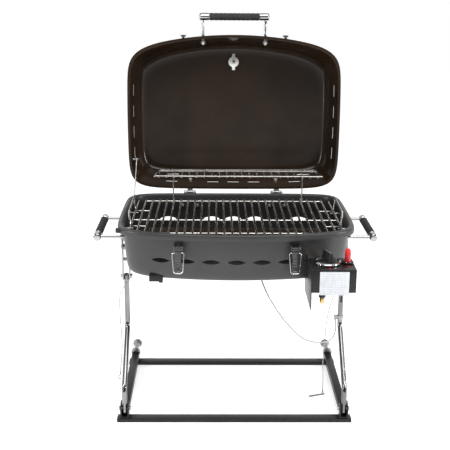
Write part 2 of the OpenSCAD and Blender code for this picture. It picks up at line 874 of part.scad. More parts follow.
module stay_bolt() {
    color("silver") opened() {
        rod_x([stay_x - 15, stay_pin_y, stay_pin_z], 5, 19);
        difference() {
            rod_x([stay_x - 17.5, stay_pin_y, stay_pin_z], 9, 8);
            lid_outside();
        }
        rod_x([stay_x + 1.5, stay_pin_y, stay_pin_z], 8, 2.5);
    }
}

// Flat stay that props the open lid on the left of the rim
module lid_stay() {
    p = opened_at(stay_pin_y, stay_pin_z);
    v = stay_low - p;
    color("#a9aaac") difference() {
        translate([stay_x - 1, p[0], p[1]]) rotate([atan2(v[1], v[0]), 0, 0]) {
            translate([0, 0, -4]) cube([2, norm(v), 8]);
            rod_x([0, 0, 0], 10, 2);
            rod_x([0, norm(v), 0], 8, 2);
        }
        rod_x([stay_x - 5, p[0], p[1]], 5.12, 10);
    }
}

// ---------------------------------------------------------------- grate and rack

// Front and back ends of a rod at x, which follow the walls of the bowl
function rod_front(x) =
    let (inset = grate_inset,
         u = (abs(x) + rod_d / 2) / (half_w - inset),
         v = pow(1 - pow(u, front_power), 1 / front_power))
    -(front_y - front_bow - inset) * v - front_bow * (1 - u * u) + grate_gap;
function rod_back(x) =
    let (inset = grate_inset,
         u = (abs(x) + rod_d / 2) / (half_w - inset),
         v = pow(1 - pow(u, back_power), 1 / back_power))
    (back_y - inset) * v - back_bow * u * u - grate_gap;

module cooking_grate() {
    color("#8f8a84") {
        for (i = [0:grate_rods - 1]) {
            x = (i - (grate_rods - 1) / 2) * rod_pitch;
            rod_y([x, rod_front(x), grate_z + rod_d - 0.4], rod_d, rod_back(x) - rod_front(x));
        }
        for (row = grate_rows) rod_x([-row[1], row[0], grate_z], rod_d, 2 * row[1]);
    }
}

// Bent wire loops welded under the ends of the grate, to lift it by
module grate_handles() {
    color("#8f8a84") both_sides() wire([[215, loop_front, grate_z], [loop_x, loop_front, grate_z],
        [loop_x, loop_front, loop_top], [loop_x, loop_back, loop_top],
        [loop_x, loop_back, grate_z], [215, loop_back, grate_z]], loop_wire);
}

// Wire shelf
module warming_rack() {
    bar_pitch = (rack_right - rack_left - 20) / (rack_bars - 1);
    color("#8f8a84") {
        wire([[rack_left, rack_front, rack_z], [rack_left + 8, rack_back, rack_z],
            [rack_right - 8, rack_back, rack_z], [rack_right, rack_front, rack_z]], rack_wire, true);
        rod_x([rack_left + 6, rack_back - 16, rack_z], 3, rack_right - rack_left - 12);
        for (i = [0:rack_bars - 1])
            rod_y([rack_left + 10 + i * bar_pitch, rack_front, rack_z - 2.6], 2.4, rack_back - rack_front);
    }
}

// Two bent wire legs welded under the shelf, which stand on rods of the grate
module rack_legs() {
    foot = grate_z + 1.5 * rod_d - 0.4 + hair + 1.5;
    color("#8f8a84") for (x = [-8.5 * rod_pitch, 9.5 * rod_pitch]) {
        wire([[x, rack_leg_y, rack_z - 4], [x, rack_leg_y, foot], [x, rack_back + 18, foot]], 3);
        rod_x([x - 14, rack_leg_y, rack_z - 4.9], 3, 28);
    }
}

// ---------------------------------------------------------------- controls that move

// Chrome skirt of the knob, turning on the valve's spindle
module knob_skirt() {
    color("#d4d5d7") translate([knob_x, knob_y, box_top + 0.6]) difference() {
        rotate_extrude($fn = 64) polygon([[0, 0], [knob_d / 2 - 3, 0], [knob_d / 2, 2], [knob_d / 2, 4],
            [knob_d / 2 - 2.5, 7], [knob_d / 2 - 4.2, 7], [knob_d / 2 - 5, 5], [0, 5]]);
        rod_z([0, 0, -1], 8.12, 20);
    }
}

// Ridge of the knob that the cook turns
module knob_grip() {
    color("#1a1a1c") translate([knob_x, knob_y, box_top + 5.7]) difference() {
        rotate([0, 0, 20]) hull() {
            for (s = [-1, 1]) translate([0, s * 15.5, 0]) cylinder(d1 = 15, d2 = 9, h = 23);
        }
        rod_z([0, 0, -1], 8.12, 8);
    }
}

module igniter_button() {
    color("#d3202f") {
        rod_z([button_x, button_y, 438], button_d, 46);
        rod_z([button_x, button_y, 483.9], button_d - 2, 2);
    }
}

// Lever of a draw latch: a plate that turns on the base's pin
module latch_lever() {
    color("#232325") difference() {
        union() {
            translate([-7.5, lever_y + 0.5, lever_pivot_z - 56]) cube([15, 3, 60]);
            rod_x([-7.5, lever_y, lever_pivot_z], 8, 15);
            rod_x([-7.5, lever_y + 1.5, bail_pivot_z], 7, 15);
        }
        rod_x([-20, lever_y, lever_pivot_z], 4.12, 40);
        rod_x([-20, lever_y + 1.5, bail_pivot_z], bail_wire + 0.12, 40);
    }
}

// Wire bail that hooks over the keeper on the lid
module latch_bail() {
    y = lever_y + 1.5;
    low = lever_y - 6.5;
    color("#c0c1c3") wire([[bail_half, y, bail_pivot_z], [bail_half - 1.5, low, bail_low],
        [1.5 - bail_half, low, bail_low], [-bail_half, y, bail_pivot_z]], bail_wire, true);
}

module latch_lever_left() { translate([-latch_x, 0, 0]) latch_lever(); }

module latch_lever_right() { translate([latch_x, 0, 0]) latch_lever(); }

module latch_bail_left() { translate([-latch_x, 0, 0]) latch_bail(); }

module latch_bail_right() { translate([latch_x, 0, 0]) latch_bail(); }

// ---------------------------------------------------------------- cords and what hangs on them

module igniter_cable() { color("#c9c9c7") cord(igniter_route, cable_d); }

module lanyard_left() { color("#c7c8c8") cord(lanyard_left_route, lanyard_d); }

module lanyard_right() { color("#c7c8c8") cord(lanyard_right_route, lanyard_d); }

// Sleeve in the bottom of the bowl that the igniter cable leaves through
module cable_gland() {
    color("#202022") difference() {
        union() {
            rod_z([60, -105, bowl_z - 6], 9, 6);
            rod_z([60, -105, bowl_z - 2], 14, 2);
        }
        rod_z([60, -105, bowl_z - 7], cable_d + 0.6, 8);
    }
}

// Clip on the right leg that holds the end of the igniter cable
module cable_clip() {
    color("#202022") difference() {
        union() {
            rod_z([leg_x, 0, 222], leg_d + 4, 10);
            translate([257, -4, 222]) cube([leg_x - 257, 8, 10]);
        }
        rod_z([leg_x, 0, 221], leg_d, 12);
    }
}

// Small wire hook at the end of the left lanyard
module lanyard_hook() {
    end = lanyard_left_route[len(lanyard_left_route) - 1];
    color("#b5b6b8") {
        rod_z(end - [0, 0, 9], 4, 9);
        wire([end - [0, 0, 8.5], end - [5, 0, 12], end - [5, 0, 19], end - [0, 0, 21]], 2);
    }
}

// Lock pin at the end of the right lanyard, with its ferrule
module lock_pin() {
    end = lanyard_right_route[len(lanyard_right_route) - 1];
    color("#b5b6b8") {
        rod_z(end - [0, 0, 10], 4, 10);
        bar_between(end - [-4, 0, 11], end - [34, 0, 18], 5);
    }
}

// ---------------------------------------------------------------- what is drawn

in_row() front_crossbar();
in_row() rear_crossbar();
in_row() side_rails();
in_row() ear_brackets();
in_row() leg_foot_bolts();
in_row() hook_spools();
in_row() leg_left();
in_row() leg_right();
in_row() firebox_shell();
in_row() leg_brackets();
in_row() bracket_bolts();
in_row() leg_top_bolts();
in_row() grate_pegs();
in_row() hinge_plates();
in_row() hinge_plate_bolts();
in_row() hinge_pins();
in_row() latch_bases();
in_row() side_handle_ends();
in_row() side_handle_grips();
in_row() burner_tube();
in_row() heat_plate();
in_row() igniter_electrode();
in_row() control_box();
in_row() control_side_plate();
in_row() rating_label();
in_row() gas_valve();
in_row() gas_inlet();
in_row() inlet_nut();
in_row() igniter_socket();
in_row() tray_clip();
in_row() rim_buffer();
in_row() lid_shell();
in_row() lid_hinge_straps();
in_row() lid_hinge_bolts();
in_row() lid_handle_ends();
in_row() lid_handle_grip();
in_row() lid_handle_nuts();
in_row() latch_keepers();
in_row() thermometer();
in_row() thermometer_nut();
in_row() stay_bolt();
in_row() lid_stay();
in_row() cooking_grate();
in_row() grate_handles();
in_row() warming_rack();
in_row() rack_legs();
in_row() knob_skirt();
in_row() knob_grip();
in_row() igniter_button();
in_row() latch_lever_left();
in_row() latch_lever_right();
in_row() latch_bail_left();
in_row() latch_bail_right();
in_row() cable_gland();
in_row() cable_clip();
in_row() igniter_cable();
in_row() lanyard_left();
in_row() lanyard_right();
in_row() lanyard_hook();
in_row() lock_pin();
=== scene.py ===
import json
import math

import bmesh
import bpy
from mathutils import Euler, Matrix, Vector

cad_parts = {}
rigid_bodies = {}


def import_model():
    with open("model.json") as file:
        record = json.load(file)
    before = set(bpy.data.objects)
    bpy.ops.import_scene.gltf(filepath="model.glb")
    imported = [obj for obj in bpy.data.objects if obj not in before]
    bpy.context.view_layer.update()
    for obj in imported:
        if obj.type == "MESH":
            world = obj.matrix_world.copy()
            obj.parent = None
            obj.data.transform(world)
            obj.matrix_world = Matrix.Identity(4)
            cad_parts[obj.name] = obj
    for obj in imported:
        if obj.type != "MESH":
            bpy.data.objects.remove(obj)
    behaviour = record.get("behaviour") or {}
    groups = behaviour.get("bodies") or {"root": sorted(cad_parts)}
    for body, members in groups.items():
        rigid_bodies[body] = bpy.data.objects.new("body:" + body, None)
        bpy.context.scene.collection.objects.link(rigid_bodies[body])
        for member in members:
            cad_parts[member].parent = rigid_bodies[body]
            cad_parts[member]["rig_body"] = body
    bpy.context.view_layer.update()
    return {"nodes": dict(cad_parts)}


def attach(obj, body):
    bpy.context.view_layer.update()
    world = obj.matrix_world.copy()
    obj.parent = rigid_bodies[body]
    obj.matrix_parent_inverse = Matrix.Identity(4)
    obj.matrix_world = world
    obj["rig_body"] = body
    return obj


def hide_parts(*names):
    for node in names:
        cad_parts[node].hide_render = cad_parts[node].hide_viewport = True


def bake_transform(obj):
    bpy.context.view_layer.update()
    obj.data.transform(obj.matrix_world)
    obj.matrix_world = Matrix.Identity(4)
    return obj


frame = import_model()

NODES = frame["nodes"]

# Lengths below are millimetres about the middle of the firebox, as in the part's source;
# ROW_Y moves them onto the row's origin.
MM = 0.001
ROW_Y = -24.75
HALF_W = 283.0
RIM_Z = 505.0
FRONT_Y, BACK_Y = 206.0, 203.0
FRONT_BOW, BACK_BOW, SIDE_BOW = 39.0, 3.0, 0.012
FRONT_POWER, BACK_POWER = 8.0, 9.0
HINGE_Y, HINGE_Z = 211.0, 505.5
LID_Z = 506.0
LID_SWING = 92.8
PLAN_POINTS = 240
EDGE_ANGLE = 30.0


def at(x, y, z):
    """A point of the grill in the row frame, in metres."""
    return Vector((x * MM, (y + ROW_Y) * MM, z * MM))


# ------------------------------------------------------------------ camera
camera_data = bpy.data.cameras.new("camera")
camera_data.lens = 71.75
camera_data.sensor_width = 36.0
camera_data.clip_start = 0.05
camera_data.clip_end = 200.0
camera = bpy.data.objects.new("camera", camera_data)
bpy.context.scene.collection.objects.link(camera)
view_turn = Euler((math.radians(74.18), 0, math.radians(-0.77))).to_matrix().to_4x4()
camera.matrix_world = (
    Matrix.Translation(at(-53.7, -2152.9, 1082.4)) @ view_turn @ Matrix.Rotation(math.radians(0.39), 4, "Z")
)
bpy.context.scene.camera = camera


# ------------------------------------------------------------------ mesh helpers
def shade(mesh, angle=35.0):
    mesh.shade_smooth()
    mesh.set_sharp_from_angle(angle=math.radians(angle))


def piece(name, mesh, material, body, replaces=(), angle=35.0):
    """A finished piece of the grill that rides on a body."""
    shade(mesh, angle)
    obj = bpy.data.objects.new(name, mesh)
    bpy.context.scene.collection.objects.link(obj)
    if material:
        mesh.materials.clear()
        mesh.materials.append(material)
    if body:
        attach(obj, body)
    if replaces:
        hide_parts(*replaces)
    return obj


def mesh_of(verts, faces, name="mesh"):
    mesh = bpy.data.meshes.new(name)
    mesh.from_pydata([tuple(v) for v in verts], [], faces)
    mesh.validate()
    mesh.update()
    return mesh


def joined(parts):
    """One (verts, faces) pair out of several."""
    verts, faces = [], []
    for v, f in parts:
        base = len(verts)
        verts += list(v)
        faces += [[i + base for i in face] for face in f]
    return verts, faces


def moved(part, matrix):
    return [matrix @ Vector(v) for v in part[0]], part[1]


def revolved(profile, sides=48):
    """Solid of revolution about Z from (radius, z) pairs; the ends lie on the axis."""
    verts = [Vector((0, 0, profile[0][1]))]
    for r, z in profile[1:-1]:
        verts += [Vector((r * math.cos(t), r * math.sin(t), z)) for t in
                  (2 * math.pi * k / sides for k in range(sides))]
    verts.append(Vector((0, 0, profile[-1][1])))
    last, rings, faces = len(verts) - 1, len(profile) - 2, []
    for k in range(sides):
        n = (k + 1) % sides
        faces.append([0, 1 + n, 1 + k])
        for j in range(rings - 1):
            a = 1 + j * sides
            faces.append([a + k, a + n, a + sides + n, a + sides + k])
        a = 1 + (rings - 1) * sides
        faces.append([a + k, a + n, last])
    return verts, faces


def swept(points, radius, sides=16, closed=False, rounded=True):
    """Round bar along a list of points, with domed ends."""
    pts = [Vector(p) for p in points]
    n = len(pts)
    radii = [radius] * n
    if not closed and rounded:
        head, tail = (pts[0] - pts[1]).normalized(), (pts[-1] - pts[-2]).normalized()
        domes = [(0.38, 0.924), (0.71, 0.707), (0.93, 0.37)]
        pts = ([pts[0] + head * radius * d for d, _ in reversed(domes)] + pts
               + [pts[-1] + tail * radius * d for d, _ in domes])
        radii = [radius * r for _, r in reversed(domes)] + radii + [radius * r for _, r in domes]
        n = len(pts)
    verts, normal = [], None
    for i, p in enumerate(pts):
        before = pts[i - 1] if (i or closed) else p
        after = pts[(i + 1) % n] if (i < n - 1 or closed) else p
        d = (after - before).normalized()
        if normal is None:
            normal = d.orthogonal().normalized()
        normal = (normal - d * normal.dot(d)).normalized()
        side = d.cross(normal)
        verts += [p + radii[i] * (math.cos(t) * normal + math.sin(t) * side) for t in
                  (2 * math.pi * k / sides for k in range(sides))]
    faces = []
    for i in range(n if closed else n - 1):
        a, b = i * sides, ((i + 1) % n) * sides
        faces += [[a + k, a + (k + 1) % sides, b + (k + 1) % sides, b + k] for k in range(sides)]
    if not closed:
        faces.append(list(reversed(range(sides))))
        faces.append([(n - 1) * sides + k for k in range(sides)])
    return verts, faces


def smooth_path(points, steps):
    """Points of the smooth curve that the part's source sweeps its cords along."""
    pts = [Vector(p) for p in points]
    last = len(pts) - 1
    out = []
    for i in range(last):
        a, b, c, d = pts[max(i - 1, 0)], pts[i], pts[i + 1], pts[min(i + 2, last)]
        for j in range(steps):
            t = j / steps
            out.append(0.5 * (2 * b + (c - a) * t + (2 * a - 5 * b + 4 * c - d) * t * t
                              + (3 * b - a - 3 * c + d) * t * t * t))
    return out + [pts[last]]


def rounded_path(corners, radius, steps=5, closed=True):
    """Line through the corners with each one rounded."""
    pts = [Vector(c) for c in corners]
    n, out = len(pts), []
    for i, p in enumerate(pts):
        if not closed and i in (0, n - 1):
            out.append(p)
            continue
        u, v = (pts[i - 1] - p), (pts[(i + 1) % n] - p)
        cut = min(radius, 0.49 * u.length, 0.49 * v.length)
        a, b = p + u.normalized() * cut, p + v.normalized() * cut
        out += [(1 - t) ** 2 * a + 2 * t * (1 - t) * p + t * t * b for t in
                (k / steps for k in range(steps + 1))]
    return out


def softened(node, material, width):
    """A copy of a CAD node with small rounded edges, which stands for it."""
    src = NODES[node]
    bm = bmesh.new()
    bm.from_mesh(src.data)
    bmesh.ops.remove_doubles(bm, verts=bm.verts, dist=1e-6)
    bmesh.ops.dissolve_limit(bm, angle_limit=math.radians(0.5), verts=bm.verts, edges=bm.edges)
    mesh = bpy.data.meshes.new(node + "_finished")
    bm.to_mesh(mesh)
    bm.free()
    obj = bpy.data.objects.new(node + "_finished", mesh)
    bpy.context.scene.collection.objects.link(obj)
    if width:
        bevel = obj.modifiers.new("edges", "BEVEL")
        bevel.width = width * MM
        bevel.segments = 2
        bevel.limit_method = "ANGLE"
        bevel.angle_limit = math.radians(EDGE_ANGLE)
        bevel.use_clamp_overlap = True
        bevel.harden_normals = False
        bpy.context.view_layer.update()
        done = bpy.data.meshes.new_from_object(obj.evaluated_get(bpy.context.evaluated_depsgraph_get()))
        obj.modifiers.clear()
        obj.data = done
    shade(obj.data, 40)
    obj.data.materials.clear()
    obj.data.materials.append(material)
    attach(obj, src["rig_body"])
    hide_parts(node)
    return obj


def round_edges(obj, width):
    bevel = obj.modifiers.new("edges", "BEVEL")
    bevel.width = width * MM
    bevel.segments = 2
    bevel.limit_method = "ANGLE"
    bevel.angle_limit = math.radians(EDGE_ANGLE)
    bpy.context.view_layer.update()
    done = bpy.data.meshes.new_from_object(obj.evaluated_get(bpy.context.evaluated_depsgraph_get()))
    obj.modifiers.clear()
    obj.data = done
    shade(obj.data, 40)


def cut(obj_mesh, cutters):
    """The mesh with every cutter taken out of it."""
    body = bpy.data.objects.new("cut_body", obj_mesh)
    bpy.context.scene.collection.objects.link(body)
    tool_mesh = mesh_of(*joined(cutters), name="cut_tool")
    tool = bpy.data.objects.new("cut_tool", tool_mesh)
    bpy.context.scene.collection.objects.link(tool)
    mod = body.modifiers.new("cut", "BOOLEAN")
    mod.operation = "DIFFERENCE"
    mod.solver = "EXACT"
    mod.object = tool
    bpy.context.view_layer.update()
    done = bpy.data.meshes.new_from_object(body.evaluated_get(bpy.context.evaluated_depsgraph_get()))
    bpy.data.objects.remove(body)
    bpy.data.objects.remove(tool)
    return done


def prism(outline, low, high, axis):
    """Closed prism over a flat outline of (a, b) pairs, along X, Y or Z."""
    place = {
        "X": lambda a, b, h: at(h, a, b),
        "Y": lambda a, b, h: at(a, h, b),
        "Z": lambda a, b, h: at(a, b, h),
    }
    verts = [place[axis](a, b, low) for a, b in outline] + [place[axis](a, b, high) for a, b in outline]
    n = len(outline)
    faces = [list(range(n)), list(reversed(range(n, 2 * n)))]
    faces += [[i, n + i, n + (i + 1) % n, (i + 1) % n] for i in range(n)]
    bm = bmesh.new()
    mesh = mesh_of(verts, faces, "prism")
    bm.from_mesh(mesh)
    bmesh.ops.recalc_face_normals(bm, faces=bm.faces)
    bm.to_mesh(mesh)
    bm.free()
    out = [v.co.copy() for v in mesh.vertices], [list(p.vertices) for p in mesh.polygons]
    bpy.data.meshes.remove(mesh)
    return out


def circle(r, sides=24, centre=(0, 0)):
    turns = [2 * math.pi * k / sides for k in range(sides)]
    return [(centre[0] + r * math.cos(t), centre[1] + r * math.sin(t)) for t in turns]


def lens(x, z, radius=44.6, drop=38.85, steps=12):
    half = math.sqrt(radius * radius - drop * drop)
    top = [(x - half + 2 * half * k / steps) for k in range(steps + 1)]
    upper = [(a, z + math.sqrt(radius * radius - (a - x) ** 2) - drop) for a in top]
    lower = [(a, z - math.sqrt(radius * radius - (a - x) ** 2) + drop) for a in reversed(top[1:-1])]
    return upper + lower


def slot_outline(x, z, length, height, steps=8):
    r = height / 2
    right = [(x + length / 2 + r * math.sin(math.pi * k / steps), z + r * math.cos(math.pi * k / steps))
             for k in range(steps + 1)]
    left = [(x - length / 2 - r * math.sin(math.pi * k / steps), z - r * math.cos(math.pi * k / steps))
            for k in range(steps + 1)]
    return right + left


def opened(x, y, z):
    """Row-frame place, with the lid open, of a point given with the lid shut."""
    a = math.radians(LID_SWING)
    dy, dz = y - HINGE_Y, z - HINGE_Z
    return at(x, HINGE_Y + dy * math.cos(a) + dz * math.sin(a), HINGE_Z - dy * math.sin(a) + dz * math.cos(a))


def open_lid(part):
    """Vertices given in the row frame with the lid shut, swung to where they are with it open."""
    verts = []
    for v in part[0]:
        verts.append(opened(v[0] / MM, v[1] / MM - ROW_Y, v[2] / MM))
    return verts, part[1]


# ------------------------------------------------------------------ materials
def node_tree(name):
    mat = bpy.data.materials.new(name)
    mat.use_nodes = True
    tree = mat.node_tree
    shader = tree.nodes["Principled BSDF"]
    coords = tree.nodes.new("ShaderNodeTexCoord")
    return mat, tree, shader, coords


def texture(tree, coords, kind, scale, detail=3.0, stretch=None, **more):
    node = tree.nodes.new(kind)
    node.inputs["Scale"].default_value = scale
    if "Detail" in node.inputs:
        node.inputs["Detail"].default_value = detail
    for key, value in more.items():
        node.inputs[key].default_value = value
    source = coords.outputs["Object"]
    if stretch:
        mapping = tree.nodes.new("ShaderNodeMapping")
        mapping.inputs["Scale"].default_value = stretch
        tree.links.new(source, mapping.inputs["Vector"])
        source = mapping.outputs["Vector"]
    tree.links.new(source, node.inputs["Vector"])
    return node


def ranged(tree, value, low, high, out_low, out_high):
    node = tree.nodes.new("ShaderNodeMapRange")
    for key, number in (("From Min", low), ("From Max", high), ("To Min", out_low), ("To Max", out_high)):
        node.inputs[key].default_value = number
    tree.links.new(value, node.inputs["Value"])
    return node.outputs["Result"]


def mixed(tree, factor, a, b):
    node = tree.nodes.new("ShaderNodeMix")
    node.data_type = "RGBA"
    for socket, value in ((node.inputs["A"], a), (node.inputs["B"], b)):
        if isinstance(value, (tuple, list)):
            socket.default_value = (*value[:3], 1.0)
        else:
            tree.links.new(value, socket)
    tree.links.new(factor, node.inputs["Factor"])
    return node.outputs["Result"]


def edge_wear_and_highlight_mask(tree, radius=0.0008):
    """1 along sharp edges, 0 on flats."""
    bevel = tree.nodes.new("ShaderNodeBevel")
    bevel.samples = 4
    bevel.inputs["Radius"].default_value = radius
    geometry = tree.nodes.new("ShaderNodeNewGeometry")
    dot = tree.nodes.new("ShaderNodeVectorMath")
    dot.operation = "DOT_PRODUCT"
    tree.links.new(bevel.outputs["Normal"], dot.inputs[0])
    tree.links.new(geometry.outputs["Normal"], dot.inputs[1])
    return ranged(tree, dot.outputs["Value"], 0.98, 0.80, 0.0, 1.0)


def surface(name, color, color_b, rough, metallic=0.0, blotch=14.0, grain=900.0, bump=0.15,
            bump_depth=0.00012, edge=None, edge_amount=0.6, stretch=None, coat=0.0, specular=0.5,
            speck=None, speck_scale=260.0, speck_amount=0.5):
    """A procedural surface: blotches of colour, fine grain, uneven gloss, coloured edges (wear, and on the
    latch material a painted highlight) and specks.
    """
    mat, tree, shader, coords = node_tree(name)
    big = texture(tree, coords, "ShaderNodeTexNoise", blotch, 4.0)
    fine = texture(tree, coords, "ShaderNodeTexNoise", grain, 2.0, stretch)
    mid = texture(tree, coords, "ShaderNodeTexNoise", blotch * 6.5, 5.0, stretch, Roughness=0.6)
    colour = mixed(tree, ranged(tree, big.outputs["Fac"], 0.35, 0.65, 0.0, 1.0), color, color_b)
    rough_value = ranged(tree, mid.outputs["Fac"], 0.3, 0.7, rough[0], rough[1])
    if speck:
        cells = texture(tree, coords, "ShaderNodeTexVoronoi", speck_scale)
        gate = texture(tree, coords, "ShaderNodeTexNoise", speck_scale * 0.07, 2.0)
        dots = ranged(tree, cells.outputs["Distance"], 0.16, 0.10, 0.0, 1.0)
        few = ranged(tree, gate.outputs["Fac"], 0.52, 0.66, 0.0, speck_amount)
        both = tree.nodes.new("ShaderNodeMath")
        both.operation = "MULTIPLY"
        tree.links.new(dots, both.inputs[0])
        tree.links.new(few, both.inputs[1])
        colour = mixed(tree, both.outputs["Value"], colour, speck)
    # Edge colour: wear on most finishes, a painted highlight on the black latch finish.
    if edge:
        mask = edge_wear_and_highlight_mask(tree)
        edge_wear_and_highlight = tree.nodes.new("ShaderNodeMath")
        edge_wear_and_highlight.operation = "MULTIPLY"
        tree.links.new(mask, edge_wear_and_highlight.inputs[0])
        tree.links.new(ranged(tree, mid.outputs["Fac"], 0.35, 0.65, 0.15, edge_amount), edge_wear_and_highlight.inputs[1])
        colour = mixed(tree, edge_wear_and_highlight.outputs["Value"], colour, edge)
    tree.links.new(colour, shader.inputs["Base Color"])
    tree.links.new(rough_value, shader.inputs["Roughness"])
    shader.inputs["Metallic"].default_value = metallic
    shader.inputs["Specular IOR Level"].default_value = specular
    shader.inputs["Coat Weight"].default_value = coat
    shader.inputs["Coat Roughness"].default_value = 0.1
    bumper = tree.nodes.new("ShaderNodeBump")
    bumper.inputs["Strength"].default_value = bump
    bumper.inputs["Distance"].default_value = bump_depth
    tree.links.new(fine.outputs["Fac"], bumper.inputs["Height"])
    tree.links.new(bumper.outputs["Normal"], shader.inputs["Normal"])
    return mat


M = {
    "shell": surface("charcoal_enamel", (0.026, 0.025, 0.025), (0.036, 0.0345, 0.034), rough=(0.32, 0.44),
                     blotch=5,
                     grain=1100, bump=0.25, edge=(0.12, 0.12, 0.12), edge_amount=0.4, specular=0.5,
                     speck=(0.12, 0.12, 0.12), speck_scale=420, speck_amount=0.12),
    "lid": surface("lid_enamel", (0.0150, 0.0088, 0.0048), (0.023, 0.0135, 0.0075), rough=(0.12, 0.22),
                   blotch=7,
                   grain=1500, bump=0.35, bump_depth=0.00010, edge=(0.05, 0.05, 0.05), edge_amount=0.3,
                   specular=0.25, speck=(0.35, 0.32, 0.28), speck_scale=330, speck_amount=0.4),
    "frame": surface("frame_enamel", (0.008, 0.008, 0.009), (0.012, 0.012, 0.013), rough=(0.26, 0.40),
                     blotch=9,
                     grain=1000, bump=0.3, edge=(0.16, 0.16, 0.17), edge_amount=0.5, specular=0.3),
    "rail": surface("rail_enamel", (0.008, 0.0075, 0.0085), (0.012, 0.0115, 0.0125), rough=(0.28, 0.42),
                    blotch=9,
                    grain=1000, bump=0.3, edge=(0.2, 0.2, 0.2), edge_amount=0.5, specular=0.22),
    "chrome": surface("bright_chrome", (0.42, 0.42, 0.43), (0.35, 0.35, 0.36), rough=(0.05, 0.12),
                      metallic=1.0,
                      blotch=20, grain=500, bump=0.05, bump_depth=0.00005),
    "bail": surface("bail_wire", (0.66, 0.66, 0.67), (0.52, 0.52, 0.53), rough=(0.12, 0.22), metallic=1.0,
                    blotch=40, grain=500, bump=0.08, bump_depth=0.00005),
    "bright": surface("bright_zinc", (0.82, 0.81, 0.78), (0.66, 0.65, 0.62), rough=(0.28, 0.42), metallic=0.8,
                      blotch=90, grain=900, bump=0.2),
    "leg": surface("plated_tube", (0.26, 0.26, 0.255), (0.17, 0.17, 0.165), rough=(0.12, 0.22), metallic=1.0,
                   blotch=10, grain=420, bump=0.08, bump_depth=0.00006, stretch=(1.0, 1.0, 0.08),
                   speck=(0.20, 0.18, 0.16), speck_scale=500, speck_amount=0.3),
    "zinc": surface("zinc_plate", (0.42, 0.42, 0.41), (0.30, 0.30, 0.30), rough=(0.24, 0.40), metallic=1.0,
                    blotch=45, grain=700, bump=0.2, edge=(0.7, 0.7, 0.7), edge_amount=0.5),
    "grate": surface("grate_wire", (0.62, 0.60, 0.57), (0.44, 0.42, 0.40), rough=(0.16, 0.30), metallic=1.0,
                     blotch=30, grain=900, bump=0.2, speck=(0.12, 0.09, 0.07), speck_scale=600,
                     speck_amount=0.4),
    "foam": surface("grip_foam", (0.014, 0.014, 0.014), (0.022, 0.022, 0.022), rough=(0.6, 0.8), blotch=60,
                    grain=1600, bump=0.6, bump_depth=0.0003, specular=0.35),
    # Painted highlight: the light-grey edge colour at 0.9 stands for the shine on the latch levers' rolled
    # edges.
    "black": surface("black_latch_painted_edge_highlight", (0.030, 0.030, 0.031), (0.050, 0.050, 0.051), rough=(0.2, 0.32),
                     blotch=40,
                     grain=900, bump=0.2, edge=(0.55, 0.55, 0.55), edge_amount=0.9),
    "plastic": surface("black_plastic", (0.007, 0.007, 0.008), (0.011, 0.011, 0.012), rough=(0.25, 0.38),
                       blotch=60,
                       grain=1400, bump=0.25, edge=(0.06, 0.06, 0.06), edge_amount=0.4, specular=0.3),
    "inlay": surface("knob_inlay", (0.55, 0.56, 0.58), (0.45, 0.46, 0.48), rough=(0.2, 0.3), metallic=0.7,
                     blotch=90, grain=900, bump=0.1),
    "red": surface("button_red", (0.62, 0.012, 0.020), (0.70, 0.020, 0.028), rough=(0.22, 0.34), blotch=90,
                   grain=1200, bump=0.12, coat=0.2),
    "burner": surface("heat_tinted_steel", (0.030, 0.022, 0.017), (0.07, 0.052, 0.038), rough=(0.45, 0.7),
                      metallic=0.7, blotch=18, grain=500, bump=0.5, speck=(0.02, 0.014, 0.010),
                      speck_scale=160,
                      speck_amount=0.8, edge=(0.3, 0.25, 0.2)),
    "brass": surface("satin_brass", (0.62, 0.44, 0.17), (0.50, 0.34, 0.12), rough=(0.22, 0.38), metallic=1.0,
                     blotch=80, grain=900, bump=0.15, edge=(0.85, 0.68, 0.35)),
    "steel": surface("dark_nut", (0.05, 0.05, 0.055), (0.08, 0.08, 0.085), rough=(0.3, 0.45), metallic=0.8,
                     blotch=80, grain=900, bump=0.2, edge=(0.35, 0.35, 0.35)),
    "rubber": surface("rubber", (0.012, 0.012, 0.012), (0.02, 0.02, 0.02), rough=(0.6, 0.75), blotch=80,
                      grain=900, bump=0.4),
    "ceramic": surface("glazed_ceramic", (0.78, 0.76, 0.70), (0.70, 0.66, 0.58), rough=(0.12, 0.2), blotch=60,
                       grain=800, bump=0.08, coat=0.3),
    "cable": surface("cable_jacket", (0.50, 0.50, 0.49), (0.42, 0.42, 0.41), rough=(0.4, 0.55), blotch=50,
                     grain=1200, bump=0.15),
    "lanyard": surface("lanyard_braid", (0.46, 0.46, 0.45), (0.34, 0.34, 0.33), rough=(0.55, 0.75),
                       blotch=300,
                       grain=2600, bump=0.8, bump_depth=0.0003, stretch=(1, 1, 0.5)),
}


